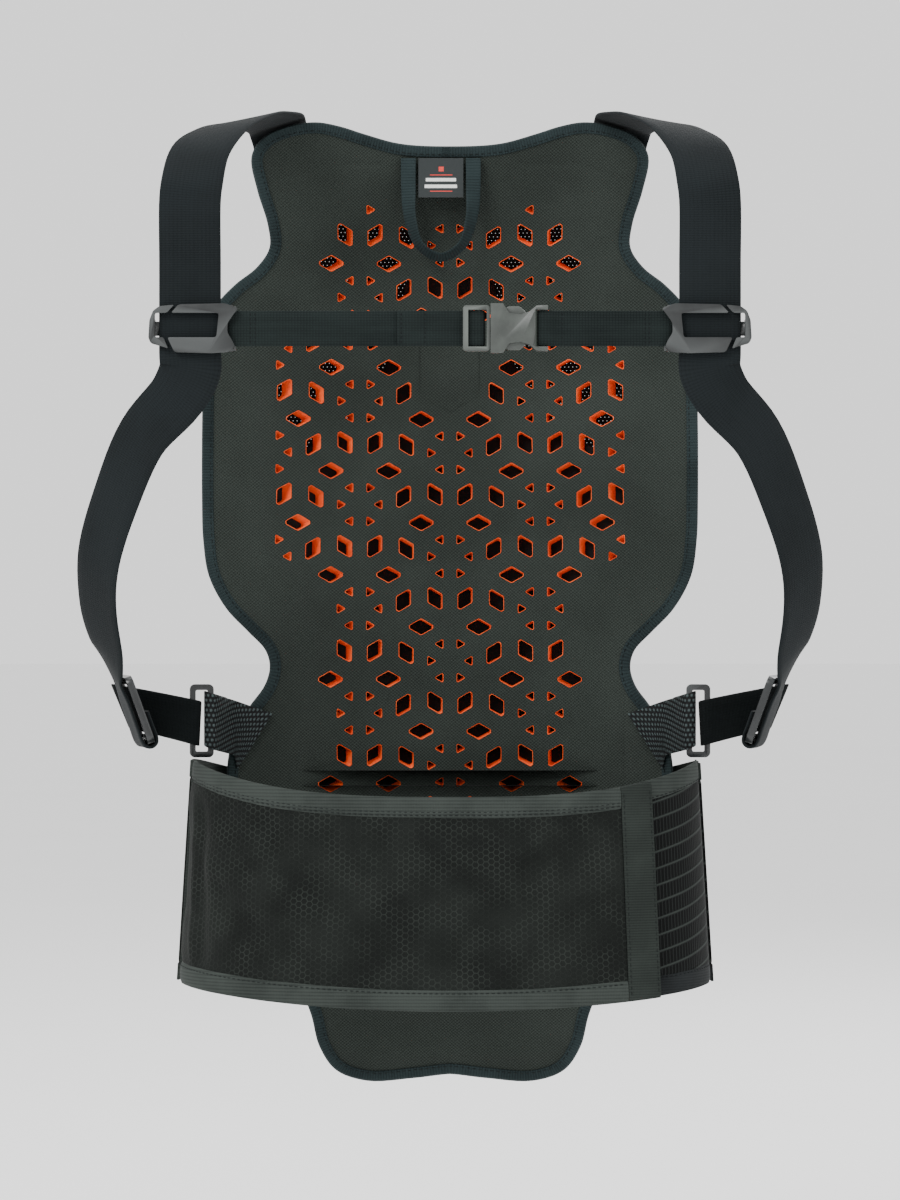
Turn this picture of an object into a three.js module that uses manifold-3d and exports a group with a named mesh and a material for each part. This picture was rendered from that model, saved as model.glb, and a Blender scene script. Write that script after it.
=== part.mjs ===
// Back protector: a perforated foam back panel in a fabric cover, with shoulder straps, a chest strap
// with a side-release buckle, and a kidney belt that wraps round the waist and closes in front.
// Millimetres, +Z up. -Y is the wearer's chest, +Y the outer side of the panel, +X the right-hand side
// as the wearer's front is looked at. The origin lies on the liner's flat spot in the small of the back.
import * as THREE from 'three';
import { mergeVertices } from 'three/addons/utils/BufferGeometryUtils.js';
import Module from 'manifold-3d';

const wasm = await Module();
wasm.setup();

// ---------------------------------------------------------------- driving dimensions

const GAP = 0.3; // between pieces that touch

// Back panel: layers are given as a distance behind the liner's inner face.
const LINER = [0, 0.9];
const CORE = [1.2, 9.2];
const STIFFENER = [9.5, 10.5];
const COVER = [10.8, 11.8];
const BINDING = [-1.0, 12.8];
const BINDING_CHANNEL = [-0.3, 12.1];
const OVERLAY = [13.1, 14.3];
const BELT_BACK = [13.2, 14.8];
const BINDING_WIDTH = 6.5;
const PANEL_TOP = 333; // height of the neck edge

// Perforation: a triangular lattice of stars, each with three pairs of rhombic holes.
const LATTICE = 62.7;
const LATTICE_Z = 148.9; // height of the star below the plain spot
const RHOMB_SIDE = 10.6;
const RHOMB_PAIR = { out: 25.2, apart: 9.0 };
const FOAM_HOLE_SHRINK = 0.7; // the foam's holes are this much smaller all round than the liner's
const PLAIN_SPOT = { z: 203, radius: 30 };

// Webbings
const STRAP_WIDTH = 35;
const STRAP_THICK = 1.8;
const STRAP_X = 147; // where the shoulder strap hangs down the chest
const STRAP_Y = -150;
const CHEST_Z = 213.5;
const CHEST_WEB = 20;
const CHEST_WEB_THICK = 1.3;
const CHEST_Y = -150.4;

// Kidney belt
const BELT_HINGE_Y = -80;
const BELT_EDGE_BAND = 12;
const WING_END_X = 117;
const END_BAND_X = 99;
const LEFT_WING_THICK = 1.8;
const END_BAND_THICK = 3;
const RIGHT_WING_INSET = 5.6;
const RIGHT_WING_THICK = 2.2;

// Buckle
const BUCKLE = { left: 7.3, mouth: 22.9, end: 55.3, halfHeight: 13, halfThick: 4.3 };

// ---------------------------------------------------------------- small tools

const v3 = (x, y, z) => new THREE.Vector3(x, y, z);
const range = (n) => Array.from({ length: n }, (_, i) => i);

// Straight-line interpolation in a list of [at, value] pairs.
function along(table, at) {
  let i = 1;
  while (i < table.length - 1 && table[i][0] < at) i++;
  const [[a, va], [b, vb]] = [table[i - 1], table[i]];
  return va + ((at - a) / (b - a)) * (vb - va);
}

function toSolid(geometry) {
  const bare = new THREE.BufferGeometry();
  const source = geometry.index ? geometry.toNonIndexed() : geometry;
  bare.setAttribute('position', source.getAttribute('position').clone());
  const merged = mergeVertices(bare, 1e-4);
  const made = new wasm.Manifold(
    new wasm.Mesh({
      numProp: 3,
      vertProperties: new Float32Array(merged.attributes.position.array),
      triVerts: new Uint32Array(merged.index.array),
    }),
  );
  return made;
}

function toGeometry(solid) {
  const mesh = solid.getMesh();
  const positions = new Float32Array(mesh.numVert * 3);
  for (let i = 0; i < mesh.numVert; i++) {
    for (let k = 0; k < 3; k++) positions[3 * i + k] = mesh.vertProperties[mesh.numProp * i + k];
  }
  const geometry = new THREE.BufferGeometry();
  geometry.setAttribute('position', new THREE.BufferAttribute(positions, 3));
  geometry.setIndex(new THREE.BufferAttribute(new Uint32Array(mesh.triVerts), 1));
  geometry.computeVertexNormals();
  return geometry;
}

const join = (first, ...rest) => rest.reduce((sum, next) => sum.add(next), first);

// Turns a closed triangle list so that its faces point outwards.
function outward(positions) {
  let volume = 0;
  for (let i = 0; i < positions.length; i += 3) {
    const [a, b, c] = [positions[i], positions[i + 1], positions[i + 2]];
    volume += a.dot(v3().crossVectors(b, c));
  }
  if (volume < 0) {
    for (let i = 0; i < positions.length; i += 3) {
      [positions[i + 1], positions[i + 2]] = [positions[i + 2], positions[i + 1]];
    }
  }
  return new THREE.BufferGeometry().setFromPoints(positions);
}

// A closed sheet between two grids of points that have the same rows and columns.
function sheet(front, back) {
  const points = [];
  const quad = (a, b, c, d) => points.push(a, b, c, a, c, d);
  const rows = front.length - 1;
  const columns = front[0].length - 1;
  for (let i = 0; i < rows; i++) {
    for (let j = 0; j < columns; j++) {
      quad(front[i][j], front[i][j + 1], front[i + 1][j + 1], front[i + 1][j]);
      quad(back[i][j], back[i + 1][j], back[i + 1][j + 1], back[i][j + 1]);
    }
    quad(front[i][0], front[i + 1][0], back[i + 1][0], back[i][0]);
    quad(front[i][columns], back[i][columns], back[i + 1][columns], front[i + 1][columns]);
  }
  for (let j = 0; j < columns; j++) {
    quad(front[0][j], back[0][j], back[0][j + 1], front[0][j + 1]);
    quad(front[rows][j], front[rows][j + 1], back[rows][j + 1], back[rows][j]);
  }
  return outward(points);
}

const polygon = (points) => new THREE.Shape(points.map(([x, y]) => new THREE.Vector2(x, y)));

// A closed polygon as a shape with its corners eased over a distance.
function softPolygon(points, ease) {
  const shape = new THREE.Shape();
  const corners = points.map(([x, y]) => new THREE.Vector2(x, y));
  corners.forEach((corner, i) => {
    const before = corners.at(i - 1).clone().sub(corner);
    const after = corners[(i + 1) % corners.length].clone().sub(corner);
    const start = corner.clone().add(before.setLength(Math.min(ease, before.length() * 0.45)));
    const end = corner.clone().add(after.setLength(Math.min(ease, after.length() * 0.45)));
    if (i) shape.lineTo(start.x, start.y);
    else shape.moveTo(start.x, start.y);
    shape.quadraticCurveTo(corner.x, corner.y, end.x, end.y);
  });
  return shape;
}

// A shape drawn in X and Z, extruded along Y.
function prism(shape, yLow, yHigh) {
  const options = { depth: yHigh - yLow, bevelEnabled: false, curveSegments: 5 };
  return new THREE.ExtrudeGeometry(shape, options).rotateX(Math.PI / 2).translate(0, yHigh, 0);
}

// A shape drawn in X and Y, extruded along Z.
function column(shape, zLow, zHigh) {
  const options = { depth: zHigh - zLow, bevelEnabled: false, curveSegments: 5 };
  return new THREE.ExtrudeGeometry(shape, options).translate(0, 0, zLow);
}

function box(x, y, z) {
  const geometry = new THREE.BoxGeometry(x[1] - x[0], y[1] - y[0], z[1] - z[0]);
  return geometry.translate((x[0] + x[1]) / 2, (y[0] + y[1]) / 2, (z[0] + z[1]) / 2);
}

function roundedRect(x, y, radius) {
  const [x0, x1] = x;
  const [y0, y1] = y;
  const shape = new THREE.Shape();
  shape.moveTo(x0 + radius, y0);
  shape.lineTo(x1 - radius, y0);
  shape.absarc(x1 - radius, y0 + radius, radius, -Math.PI / 2, 0, false);
  shape.lineTo(x1, y1 - radius);
  shape.absarc(x1 - radius, y1 - radius, radius, 0, Math.PI / 2, false);
  shape.lineTo(x0 + radius, y1);
  shape.absarc(x0 + radius, y1 - radius, radius, Math.PI / 2, Math.PI, false);
  shape.lineTo(x0, y0 + radius);
  shape.absarc(x0 + radius, y0 + radius, radius, Math.PI, 1.5 * Math.PI, false);
  return shape;
}

// A webbing: stations are [[x, y, z], [facing]] and it runs smoothly through them.
function ribbon(stations, width, thickness, steps) {
  const centre = new THREE.CatmullRomCurve3(stations.map(([at]) => v3(...at)));
  const facing = new THREE.CatmullRomCurve3(stations.map(([, face]) => v3(...face)));
  const [front, back] = [[], []];
  for (let i = 0; i <= steps; i++) {
    const at = centre.getPoint(i / steps);
    const travel = centre.getTangent(i / steps);
    const across = v3().crossVectors(travel, facing.getPoint(i / steps)).normalize();
    const out = v3().crossVectors(across, travel).normalize().multiplyScalar(thickness / 2);
    const edges = [-0.5, 0.5].map((side) => at.clone().addScaledVector(across, side * width));
    front.push(edges.map((edge) => edge.clone().add(out)));
    back.push(edges.map((edge) => edge.clone().sub(out)));
  }
  return sheet(front, back);
}

// A webbing that folds round bars: a thick line in plan, extruded along Z.
function foldedWeb(line, thickness, zLow, zHigh) {
  const points = line.map(([x, y]) => new THREE.Vector2(x, y));
  const sides = [1, -1].map((side) =>
    points.map((at, i) => {
      const before = at.clone().sub(points[Math.max(i - 1, 0)]).normalize();
      const after = points[Math.min(i + 1, points.length - 1)].clone().sub(at).normalize();
      if (i === 0) before.copy(after);
      if (i === points.length - 1) after.copy(before);
      const bisector = before.add(after).normalize();
      const reach = (side * thickness) / 2 / Math.max(bisector.dot(after), 0.5);
      return new THREE.Vector2(at.x - bisector.y * reach, at.y + bisector.x * reach);
    }),
  );
  return column(new THREE.Shape([...sides[0], ...sides[1].reverse()]), zLow, zHigh);
}

// ---------------------------------------------------------------- back panel

// How far back the liner lies at each height: hollow of the back at 0, shoulder blades near 230.
const SPINE = [
  [-240, 32], [-170, 20], [-110, 9.4], [-60, 2.4], [-20, 0], [20, 0], [70, 4.8],
  [130, 14.4], [190, 22.4], [245, 24], [300, 16], [350, -2],
];
// How far the panel wraps forward at each distance from the spine. The middle column is flat.
const FLAT_HALF = 22;
const WRAP_X = [-165, -122, -82, -50, -FLAT_HALF, FLAT_HALF, 50, 82, 122, 165];
const WRAP = WRAP_X.map((x) => [x, (Math.abs(x) - FLAT_HALF) ** 2 / 410]);
const panelY = (x, z) => along(SPINE, z) - along(WRAP, x);

// One layer of the panel's curved stack, before it is cut to its outline.
function slab([near, far]) {
  const grid = (offset) => SPINE.map(([z]) => WRAP_X.map((x) => v3(x, panelY(x, z) + offset, z)));
  return sheet(grid(near), grid(far));
}

// The right half of the panel's outline, from the neck down to the tail.
const HALF_OUTLINE = [
  [0, PANEL_TOP], [30, 334.5], [52, 340], [66, 344], [80, 346], [96, 343.5], [111, 336.5], [118.5, 325],
  [115.5, 306], [109.5, 286], [108.5, 272], [116, 260], [129, 249], [140, 236], [146, 218], [147.5, 190],
  [147.5, 120], [146.5, 95], [143, 74], [133, 55], [120, 41], [110, 30], [107.5, 20], [110.5, 9],
  [119, -3], [127, -16], [132, -36], [132, -66], [124, -100], [107, -140], [92, -170], [84, -190],
  [79, -210], [69, -225], [50, -232], [22, -230.5], [0, -228],
];

// The panel's outline as a shape in X and Z, moved inwards by an inset.
function outline(inset) {
  const ends = [[-30, 334.5], ...HALF_OUTLINE, [-22, -228]].map(([x, z]) => v3(x, 0, z));
  const curve = new THREE.CatmullRomCurve3(ends, false, 'centripetal');
  const count = ends.length - 1;
  const steps = count - 2;
  const half = range(steps + 1).map((i) => {
    const t = (1 + i) / count;
    const at = curve.getPoint(t);
    const travel = curve.getTangent(t);
    return new THREE.Vector2(at.x + travel.z * inset, at.z - travel.x * inset);
  });
  half[0].x = half[steps].x = 0;
  const mirrored = half.slice(1, steps).reverse().map((p) => new THREE.Vector2(-p.x, p.y));
  return new THREE.Shape([...half, ...mirrored].reverse());
}

const prismOf = (shape) => toSolid(prism(shape, -120, 120));
const layer = (span, shape) => toSolid(slab(span)).intersect(prismOf(shape));

// Whether a hole at this place belongs to the perforated field, which is widest at the shoulder blades.
function inField(x, z) {
  const fieldHalf = z > 224 ? 72 : z > 78 ? 106 : 74;
  const plain = Math.hypot(x, z - PLAIN_SPOT.z) < PLAIN_SPOT.radius;
  return z < 292 && z > -150 && Math.abs(x) < fieldHalf && !plain;
}

// Centres and long-side directions of the rhombic holes.
function rhombs() {
  const found = [];
  for (const column of [-3, -2, -1, 0, 1, 2, 3]) {
    for (const row of range(12)) {
      const star = {
        x: (column * LATTICE * Math.sqrt(3)) / 2,
        z: LATTICE_Z + (5 - row + (column % 2 ? 0.5 : 0)) * LATTICE - 2 * LATTICE,
      };
      for (const turn of [0, 1, 2]) {
        const angle = (turn * 2 * Math.PI) / 3 - Math.PI / 2;
        const out = { x: Math.cos(angle), z: Math.sin(angle) };
        for (const side of [-1, 1]) {
          const x = star.x + out.x * RHOMB_PAIR.out - out.z * side * RHOMB_PAIR.apart;
          const z = star.z + out.z * RHOMB_PAIR.out + out.x * side * RHOMB_PAIR.apart;
          if (inField(x, z)) found.push({ x, z, angle, side });
        }
      }
    }
  }
  return found;
}

// A rhombus whose sides run outwards from the star and 60 degrees off that.
function rhombShape({ x, z, angle, side }, sideLength) {
  const lean = angle + (side * 2 * Math.PI) / 3;
  const half = sideLength / 2;
  const corners = [[-1, -1], [1, -1], [1, 1], [-1, 1]].map(([p, q]) => [
    x + half * (p * Math.cos(angle) + q * Math.cos(lean)),
    z + half * (p * Math.sin(angle) + q * Math.sin(lean)),
  ]);
  return polygon(corners);
}

const holes = (shrink) => {
  const shapes = rhombs().map((rhomb) => rhombShape(rhomb, RHOMB_SIDE - 2.3 * shrink));
  return toSolid(prism(shapes, -120, 120));
};

const stiffenerShape = polygon([
  [-24, 264], [24, 264], [38, 205], [60, 168], [104, 141], [104, 74], [80, 40], [80, -140], [62, -180],
  [-62, -180], [-80, -140], [-80, 40], [-104, 74], [-104, 141], [-60, 168], [-38, 205],
]);
const overlayShape = polygon([
  [-20, 262], [20, 262], [36, 205], [57, 166], [58, 90], [40, 40], [52, -28], [-52, -28],
  [-40, 40], [-58, 90], [-57, 166], [-36, 205],
]);

const beltTop = (x) => -51 + 18 * Math.abs(x / 153) ** 3;
const beltBottom = (x) => -172 + 11 * (x / 153) ** 2;
const BELT_BACK_HALF = 122;

function beltBackShape() {
  const xs = range(9).map((i) => -BELT_BACK_HALF + (i * BELT_BACK_HALF) / 4);
  return polygon([
    ...xs.map((x) => [x, beltBottom(BELT_BACK_HALF)]),
    ...xs.reverse().map((x) => [x, beltTop(BELT_BACK_HALF)]),
  ]);
}

function bindingSolid() {
  const band = layer(BINDING, outline(0)).subtract(prismOf(outline(BINDING_WIDTH)));
  return band.subtract(toSolid(slab(BINDING_CHANNEL)).intersect(prismOf(outline(1.2))));
}

const cutSize = outline(1.5);
const panelPieces = {
  liner_panel: layer(LINER, cutSize).subtract(holes(0)),
  core_foam: layer(CORE, cutSize).subtract(holes(FOAM_HOLE_SHRINK)),
  spine_stiffener: layer(STIFFENER, stiffenerShape),
  outer_cover: layer(COVER, cutSize),
  edge_binding: bindingSolid(),
  spine_overlay: layer(OVERLAY, overlayShape),
  belt_back: layer(BELT_BACK, beltBackShape()),
};

// ---------------------------------------------------------------- shoulder straps and side links

// The ring at the strap's lower end leans outwards, and the strap's end folds round its bottom bar.
const STRAP_END = { x: 177, y: -76, z: -21, across: [0.2, 0.98], out: [0.98, -0.2], lean: 0.349 };
const RAIL = 4;
const CURL = 0.71 * RAIL + 0.5 + STRAP_THICK / 2;

// Ways and places beside the ring: out is square to its plane, away from the body; up is in its plane.
const ringWay = (out, up) => {
  const flat = out * Math.cos(STRAP_END.lean) + up * Math.sin(STRAP_END.lean);
  const rise = up * Math.cos(STRAP_END.lean) - out * Math.sin(STRAP_END.lean);
  return [STRAP_END.out[0] * flat, STRAP_END.out[1] * flat, rise];
};
const besideRing = (out, up) => {
  const [x, y, z] = ringWay(out, up);
  return [STRAP_END.x + x, STRAP_END.y + y, STRAP_END.z + z];
};

function shoulderStrap() {
  const curl = [0, 45, 90, 135, 180].map((degrees) => {
    const turn = (degrees * Math.PI) / 180;
    const [out, up] = [Math.cos(turn), -Math.sin(turn)];
    return [besideRing(CURL * out, CURL * up), ringWay(out, up)];
  });
  return ribbon(
    [
      [[91, panelY(91, 288) + 14.9, 288], [0.32, 0.94, 0.1]],
      [[94.5, panelY(94.5, 308) + 14.9, 308], [0.34, 0.93, 0.2]],
      [[99.5, panelY(99.5, 325) + 15.4, 325], [0.36, 0.88, 0.3]],
      [[101.5, 7.2, 334.5], [0.36, 0.75, 0.5]],
      [[102.6, 4.2, 340.4], [0.34, 0.5, 0.75]],
      [[103.4, -3, 343.6], [0.3, 0.15, 0.94]],
      [[104, -18, 344], [0.3, 0, 0.95]],
      [[108, -40, 343], [0.28, -0.1, 0.95]],
      [[117.5, -74, 340], [0.26, -0.28, 0.92]],
      [[131.5, -108, 330.5], [0.22, -0.5, 0.84]],
      [[142.5, -135, 314.5], [0.12, -0.84, 0.5]],
      [[146, -148.5, 296], [0.02, -0.99, 0.1]],
      [[STRAP_X, STRAP_Y, 286], [0, -1, 0]],
      [[STRAP_X, STRAP_Y, 250], [0, -1, 0]],
      [[STRAP_X, STRAP_Y, 215], [0, -1, 0]],
      [[STRAP_X, STRAP_Y, 200], [0, -1, 0]],
      [[STRAP_X, STRAP_Y, 190], [0, -1, 0]],
      [[154, -148.4, 176], [0.26, -0.96, 0.05]],
      [[174.5, -141, 153], [0.46, -0.87, 0.12]],
      [[190.5, -129, 118], [0.56, -0.82, 0.1]],
      [[202, -114, 82], [0.64, -0.77, 0.05]],
      [[203, -99, 54], [0.72, -0.69, -0.02]],
      [[199, -88.5, 32], [0.82, -0.55, -0.15]],
      [[194.6, -80.5, 16], ringWay(1, 0)],
      [besideRing(CURL, 23), ringWay(1, 0)],
      [besideRing(CURL, 9), ringWay(1, 0)],
      ...curl,
      [besideRing(-CURL, 8), ringWay(-1, 0)],
      [besideRing(-CURL, 16), ringWay(-1, 0)],
    ],
    STRAP_WIDTH,
    STRAP_THICK,
    64,
  );
}

// A rectangular ring in the plane of X and Z about its own centre.
function ringShape(halfWidth, halfHeight, bar, radius) {
  const shape = roundedRect([-halfWidth, halfWidth], [-halfHeight, halfHeight], radius);
  const inner = roundedRect([bar - halfWidth, halfWidth - bar], [bar - halfHeight, halfHeight - bar], 1);
  shape.holes.push(new THREE.Path(inner.getPoints(3)));
  return shape;
}

const END_RING = { halfHeight: 20.5, rear: 27 }; // rear is from the strap's middle to the rear post
const endRing = {
  geometry: prism(ringShape(26, END_RING.halfHeight, RAIL, 5), -RAIL / 2, RAIL / 2)
    .translate(3, 0, 0)
    .rotateX(STRAP_END.lean),
  position: besideRing(0, END_RING.halfHeight - RAIL / 2),
  turn: Math.atan2(STRAP_END.across[1], STRAP_END.across[0]),
};

const SIDE_RING = { x: 146, y: -52.2, z: -11, bar: 3.4, turn: -0.13 };
const sideRing = {
  geometry: prism(ringShape(7, 21.5, SIDE_RING.bar, 3), -SIDE_RING.bar / 2, SIDE_RING.bar / 2),
  position: [SIDE_RING.x, SIDE_RING.y, SIDE_RING.z],
  turn: SIDE_RING.turn,
};
const barAt = (along_) => [
  SIDE_RING.x + along_ * Math.cos(SIDE_RING.turn), SIDE_RING.y + along_ * Math.sin(SIDE_RING.turn),
];
const OUTER_BAR = barAt(7 - SIDE_RING.bar / 2);
const INNER_BAR = barAt(SIDE_RING.bar / 2 - 7);

// Slides a geometry up in proportion to x, as a webbing hangs askew.
const skew = (geometry, slope, xZero) =>
  geometry.applyMatrix4(
    new THREE.Matrix4().set(1, 0, 0, 0, 0, 1, 0, 0, slope, 0, 1, -slope * xZero, 0, 0, 0, 1),
  );

// A closed racetrack round two upright bars.
function loopShape([ax, ay], [bx, by], radius) {
  const heading = Math.atan2(by - ay, bx - ax);
  const shape = new THREE.Shape();
  shape.absarc(bx, by, radius, heading - Math.PI / 2, heading + Math.PI / 2, false);
  shape.absarc(ax, ay, radius, heading + Math.PI / 2, heading + 1.5 * Math.PI, false);
  return shape;
}

// The end ring's rear post at the height of the side ring.
const POST_UP = (SIDE_RING.z - STRAP_END.z) / Math.cos(STRAP_END.lean);
const REAR_POST = [0, 1].map(
  (k) => besideRing(0, POST_UP)[k] + END_RING.rear * STRAP_END.across[k],
);

// A band from the side ring to the end ring's rear post: it hangs askew, and its far end leans with the post.
function sideLoop() {
  const inner = 3.3;
  const shape = loopShape(OUTER_BAR, REAR_POST, inner + 1.5);
  shape.holes.push(new THREE.Path(loopShape(OUTER_BAR, REAR_POST, inner).getPoints(4)));
  const band = skew(column(shape, -24.8, 1.6), 0.234, OUTER_BAR[0]);
  const place = band.attributes.position;
  const [leanX, leanY, leanZ] = ringWay(0, 1);
  for (let i = 0; i < place.count; i++) {
    const far = (place.getX(i) - OUTER_BAR[0]) / (REAR_POST[0] - OUTER_BAR[0]);
    const rise = ((place.getZ(i) - SIDE_RING.z) / leanZ) * far;
    place.setXY(i, place.getX(i) + leanX * rise, place.getY(i) + leanY * rise);
  }
  return band;
}

// Mesh webbing from the liner, out round the side ring's inner bar and back.
function meshTab() {
  const [bx, by] = INNER_BAR;
  const onLiner = (x) => [x, panelY(x, -10) - 2.2];
  const around = (degrees) => {
    const turn = (degrees * Math.PI) / 180;
    return [bx + 3.5 * Math.cos(turn), by + 3.5 * Math.sin(turn)];
  };
  const line = [
    onLiner(106), onLiner(120), onLiner(127), [130.5, -35], around(215), around(260), around(305),
    around(350), around(35), [134.8, -36.4], [132.6, -32.6],
  ];
  return skew(foldedWeb(line, 1.3, SIDE_RING.z - 16.3, SIDE_RING.z + 16.3), 0.37, bx);
}

// ---------------------------------------------------------------- chest strap

// A slider holds the shoulder strap between its front arms and a bar behind, so it slides along it.
function slider() {
  const inner = STRAP_X - STRAP_WIDTH / 2 - 0.6;
  const outer = STRAP_X + STRAP_WIDTH / 2 + 0.6;
  const frontSpan = [STRAP_Y - 4.6, STRAP_Y - 1.4];
  const backSpan = [STRAP_Y + 1.4, STRAP_Y + 4.2];
  const z = (up) => CHEST_Z + up;
  const arms = softPolygon([
    [inner + 1.6, z(8.6)], [outer - 7.5, z(8.6)], [outer - 12, z(13.4)], [inner - 2, z(14)],
    [inner - 9.4, z(11.2)],
    [inner - 6.4, z(7.4)], [inner - 3.4, z(3)], [inner - 3.2, z(-2.5)], [inner - 6, z(-7)],
    [inner - 7.6, z(-10.6)],
    [inner - 4, z(-13.6)], [inner + 6, z(-14.2)], [outer - 9.5, z(-13.6)], [outer - 5.5, z(-5.2)],
    [inner + 3, z(-5.2)],
  ], 1.6);
  const rail = softPolygon([
    [outer + 1.6, z(8.6)], [outer - 5.2, z(8.6)], [outer - 9.4, z(13.2)], [outer - 1, z(12.4)],
    [outer + 2.6, z(9.8)], [outer + 4.6, z(4.5)], [outer + 5.2, z(-5.6)], [outer + 3.8, z(-8.6)],
    [outer - 2.6, z(-10.4)], [outer - 6, z(-11.6)], [outer - 3.3, z(-5.2)], [outer + 1.6, z(-5.2)],
  ], 1.2);
  const full = [frontSpan[0], backSpan[1]];
  return join(
    toSolid(prism(arms, ...frontSpan)),
    toSolid(prism(rail, ...frontSpan)),
    toSolid(box([outer + 1.6, outer + 4.4], full, [z(-5), z(5)])),
    toSolid(box([inner - 1.6, inner], full, [z(-12), z(12)])),
    toSolid(box([inner - 1, outer + 2.6], backSpan, [z(-4), z(4)])),
    toSolid(box([inner - 6.2, inner - 0.5], full, [z(10.7), z(13)])),
    toSolid(box([inner - 6.2, inner - 0.5], full, [z(-13), z(-10.7)])),
    toSolid(box([inner - 7.8, inner - 4.8], [STRAP_Y + 0.6, STRAP_Y + 3], [z(-12.6), z(12.6)])),
  );
}

const SLIDER_BAR_X = STRAP_X - STRAP_WIDTH / 2 - 0.6 - 6.3;
const END_BAR_X = BUCKLE.end - 1.9;

// Chest webbing on the housing's side: sewn round the housing's end bar and round the slider's bar.
function chestWebRight() {
  const y = CHEST_Y;
  const line = [
    [78, y + 1.65], [61, y + 1.65], [56.5, y + 2.3], [51.6, y + 2.3], [49.9, y + 1.3], [49.9, y - 1.3],
    [51.6, y - 2.3], [56.5, y - 2.3], [61, y], [SLIDER_BAR_X + 2.2, y], [SLIDER_BAR_X + 3.2, y + 1.2],
    [SLIDER_BAR_X + 3.2, y + 3.3], [SLIDER_BAR_X + 2.2, y + 4.5], [SLIDER_BAR_X - 2, y + 4.5],
    [SLIDER_BAR_X - 8, y + 1.75], [SLIDER_BAR_X - 20, y + 1.65],
  ];
  return foldedWeb(line, CHEST_WEB_THICK, CHEST_Z - CHEST_WEB / 2, CHEST_Z + CHEST_WEB / 2);
}

// Chest webbing on the insert's side: under its outer bar, round its inner one, and folded back in front.
function chestWebLeft() {
  const y = CHEST_Y;
  const x = -SLIDER_BAR_X;
  const line = [
    [-30, y - 1.65], [2, y - 1.65], [5.4, y - 0.95], [8.8, y - 0.75], [11.6, y - 1.1], [14, y - 1.85],
    [17.2, y - 1.85], [18.9, y - 1.1], [19.2, y], [18.9, y + 1.1], [17.2, y + 1.85], [14, y + 1.85],
    [11.6, y + 1.4], [8.8, y + 0.95], [5.4, y + 0.7], [2, y], [x - 2.2, y], [x - 3.2, y + 1.2],
    [x - 3.2, y + 3.3],
    [x - 2.2, y + 4.5], [x + 2, y + 4.5], [x + 8, y + 1.75], [x + 20, y + 1.65],
  ];
  return foldedWeb(line, CHEST_WEB_THICK, CHEST_Z - CHEST_WEB / 2, CHEST_Z + CHEST_WEB / 2);
}

// The buckle's housing: a flat box, open at the mouth, with an arched window at each side.
function buckleHousing() {
  const { mouth, end, halfHeight, halfThick } = BUCKLE;
  const z = (up) => CHEST_Z + up;
  const profile = polygon([
    [mouth, z(-14)], [mouth + 7, z(-14)], [mouth + 8, z(-12.4)], [mouth + 10.5, z(-8.6)],
    [mouth + 17, z(-7.8)],
    [mouth + 22, z(-9.4)], [mouth + 26, z(-12.8)], [end, z(-halfHeight)], [end, z(halfHeight)],
    [mouth + 26, z(12.8)], [mouth + 22, z(9.4)], [mouth + 17, z(7.8)], [mouth + 10.5, z(8.6)],
    [mouth + 8, z(12.4)], [mouth + 7, z(14)], [mouth, z(14)],
  ]);
  const span = [CHEST_Y - halfThick, CHEST_Y + halfThick];
  const cavity = box([mouth - 1, mouth + 21.5], [CHEST_Y - 2.6, CHEST_Y + 2.6], [z(-11.3), z(11.3)]);
  const sideWays = box([mouth + 7.4, mouth + 21.5], [CHEST_Y - 2.6, CHEST_Y + 2.6], [z(-15), z(15)]);
  const slot = box([48.3, 51.5], [CHEST_Y - 9, CHEST_Y + 9], [z(-10.4), z(10.4)]);
  const recess = (y0, y1) => toSolid(box([51, end + 1], [y0, y1], [z(-10.4), z(10.4)]));
  return toSolid(prism(profile, ...span))
    .subtract(toSolid(cavity))
    .subtract(toSolid(sideWays))
    .subtract(toSolid(slot))
    .subtract(recess(CHEST_Y - 9, CHEST_Y - 1.3))
    .subtract(recess(CHEST_Y + 1.3, CHEST_Y + 9));
}

// The buckle's insert: a frame with two webbing bars, and a guide that runs into the housing.
function buckleInsert() {
  const { left, mouth, halfHeight } = BUCKLE;
  const z = (up) => CHEST_Z + up;
  const base = roundedRect([left, mouth - GAP], [z(-halfHeight), z(halfHeight)], 2);
  const thick = [CHEST_Y - 3.4, CHEST_Y + 3.4];
  const openings = [[left + 3, left + 6.7], [left + 9.8, left + 13.4]].map((x) =>
    toSolid(box(x, [CHEST_Y - 9, CHEST_Y + 9], [z(-10.4), z(10.4)])),
  );
  const thinBars = [
    [[left - 1, left + 4], [CHEST_Y - 1.6, CHEST_Y + 9]],
    [[left + 5, left + 11], [CHEST_Y - 9, CHEST_Y - 1]],
    [[left + 5, left + 11], [CHEST_Y + 1, CHEST_Y + 9]],
  ].map(([x, y]) => toSolid(box(x, y, [z(-10.4), z(10.4)])));
  const guide = polygon([
    [mouth - 2, z(-2.4)], [mouth + 17, z(-2.4)], [mouth + 19.5, z(0)], [mouth + 17, z(2.4)],
    [mouth - 2, z(2.4)],
  ]);
  let solid = toSolid(prism(base, ...thick));
  for (const cut of [...openings, ...thinBars]) solid = solid.subtract(cut);
  return solid.add(toSolid(prism(guide, CHEST_Y - 1.9, CHEST_Y + 1.9)));
}

const PRONG_ROOT = { x: BUCKLE.mouth + 0.1, up: 8.6 };

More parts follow.
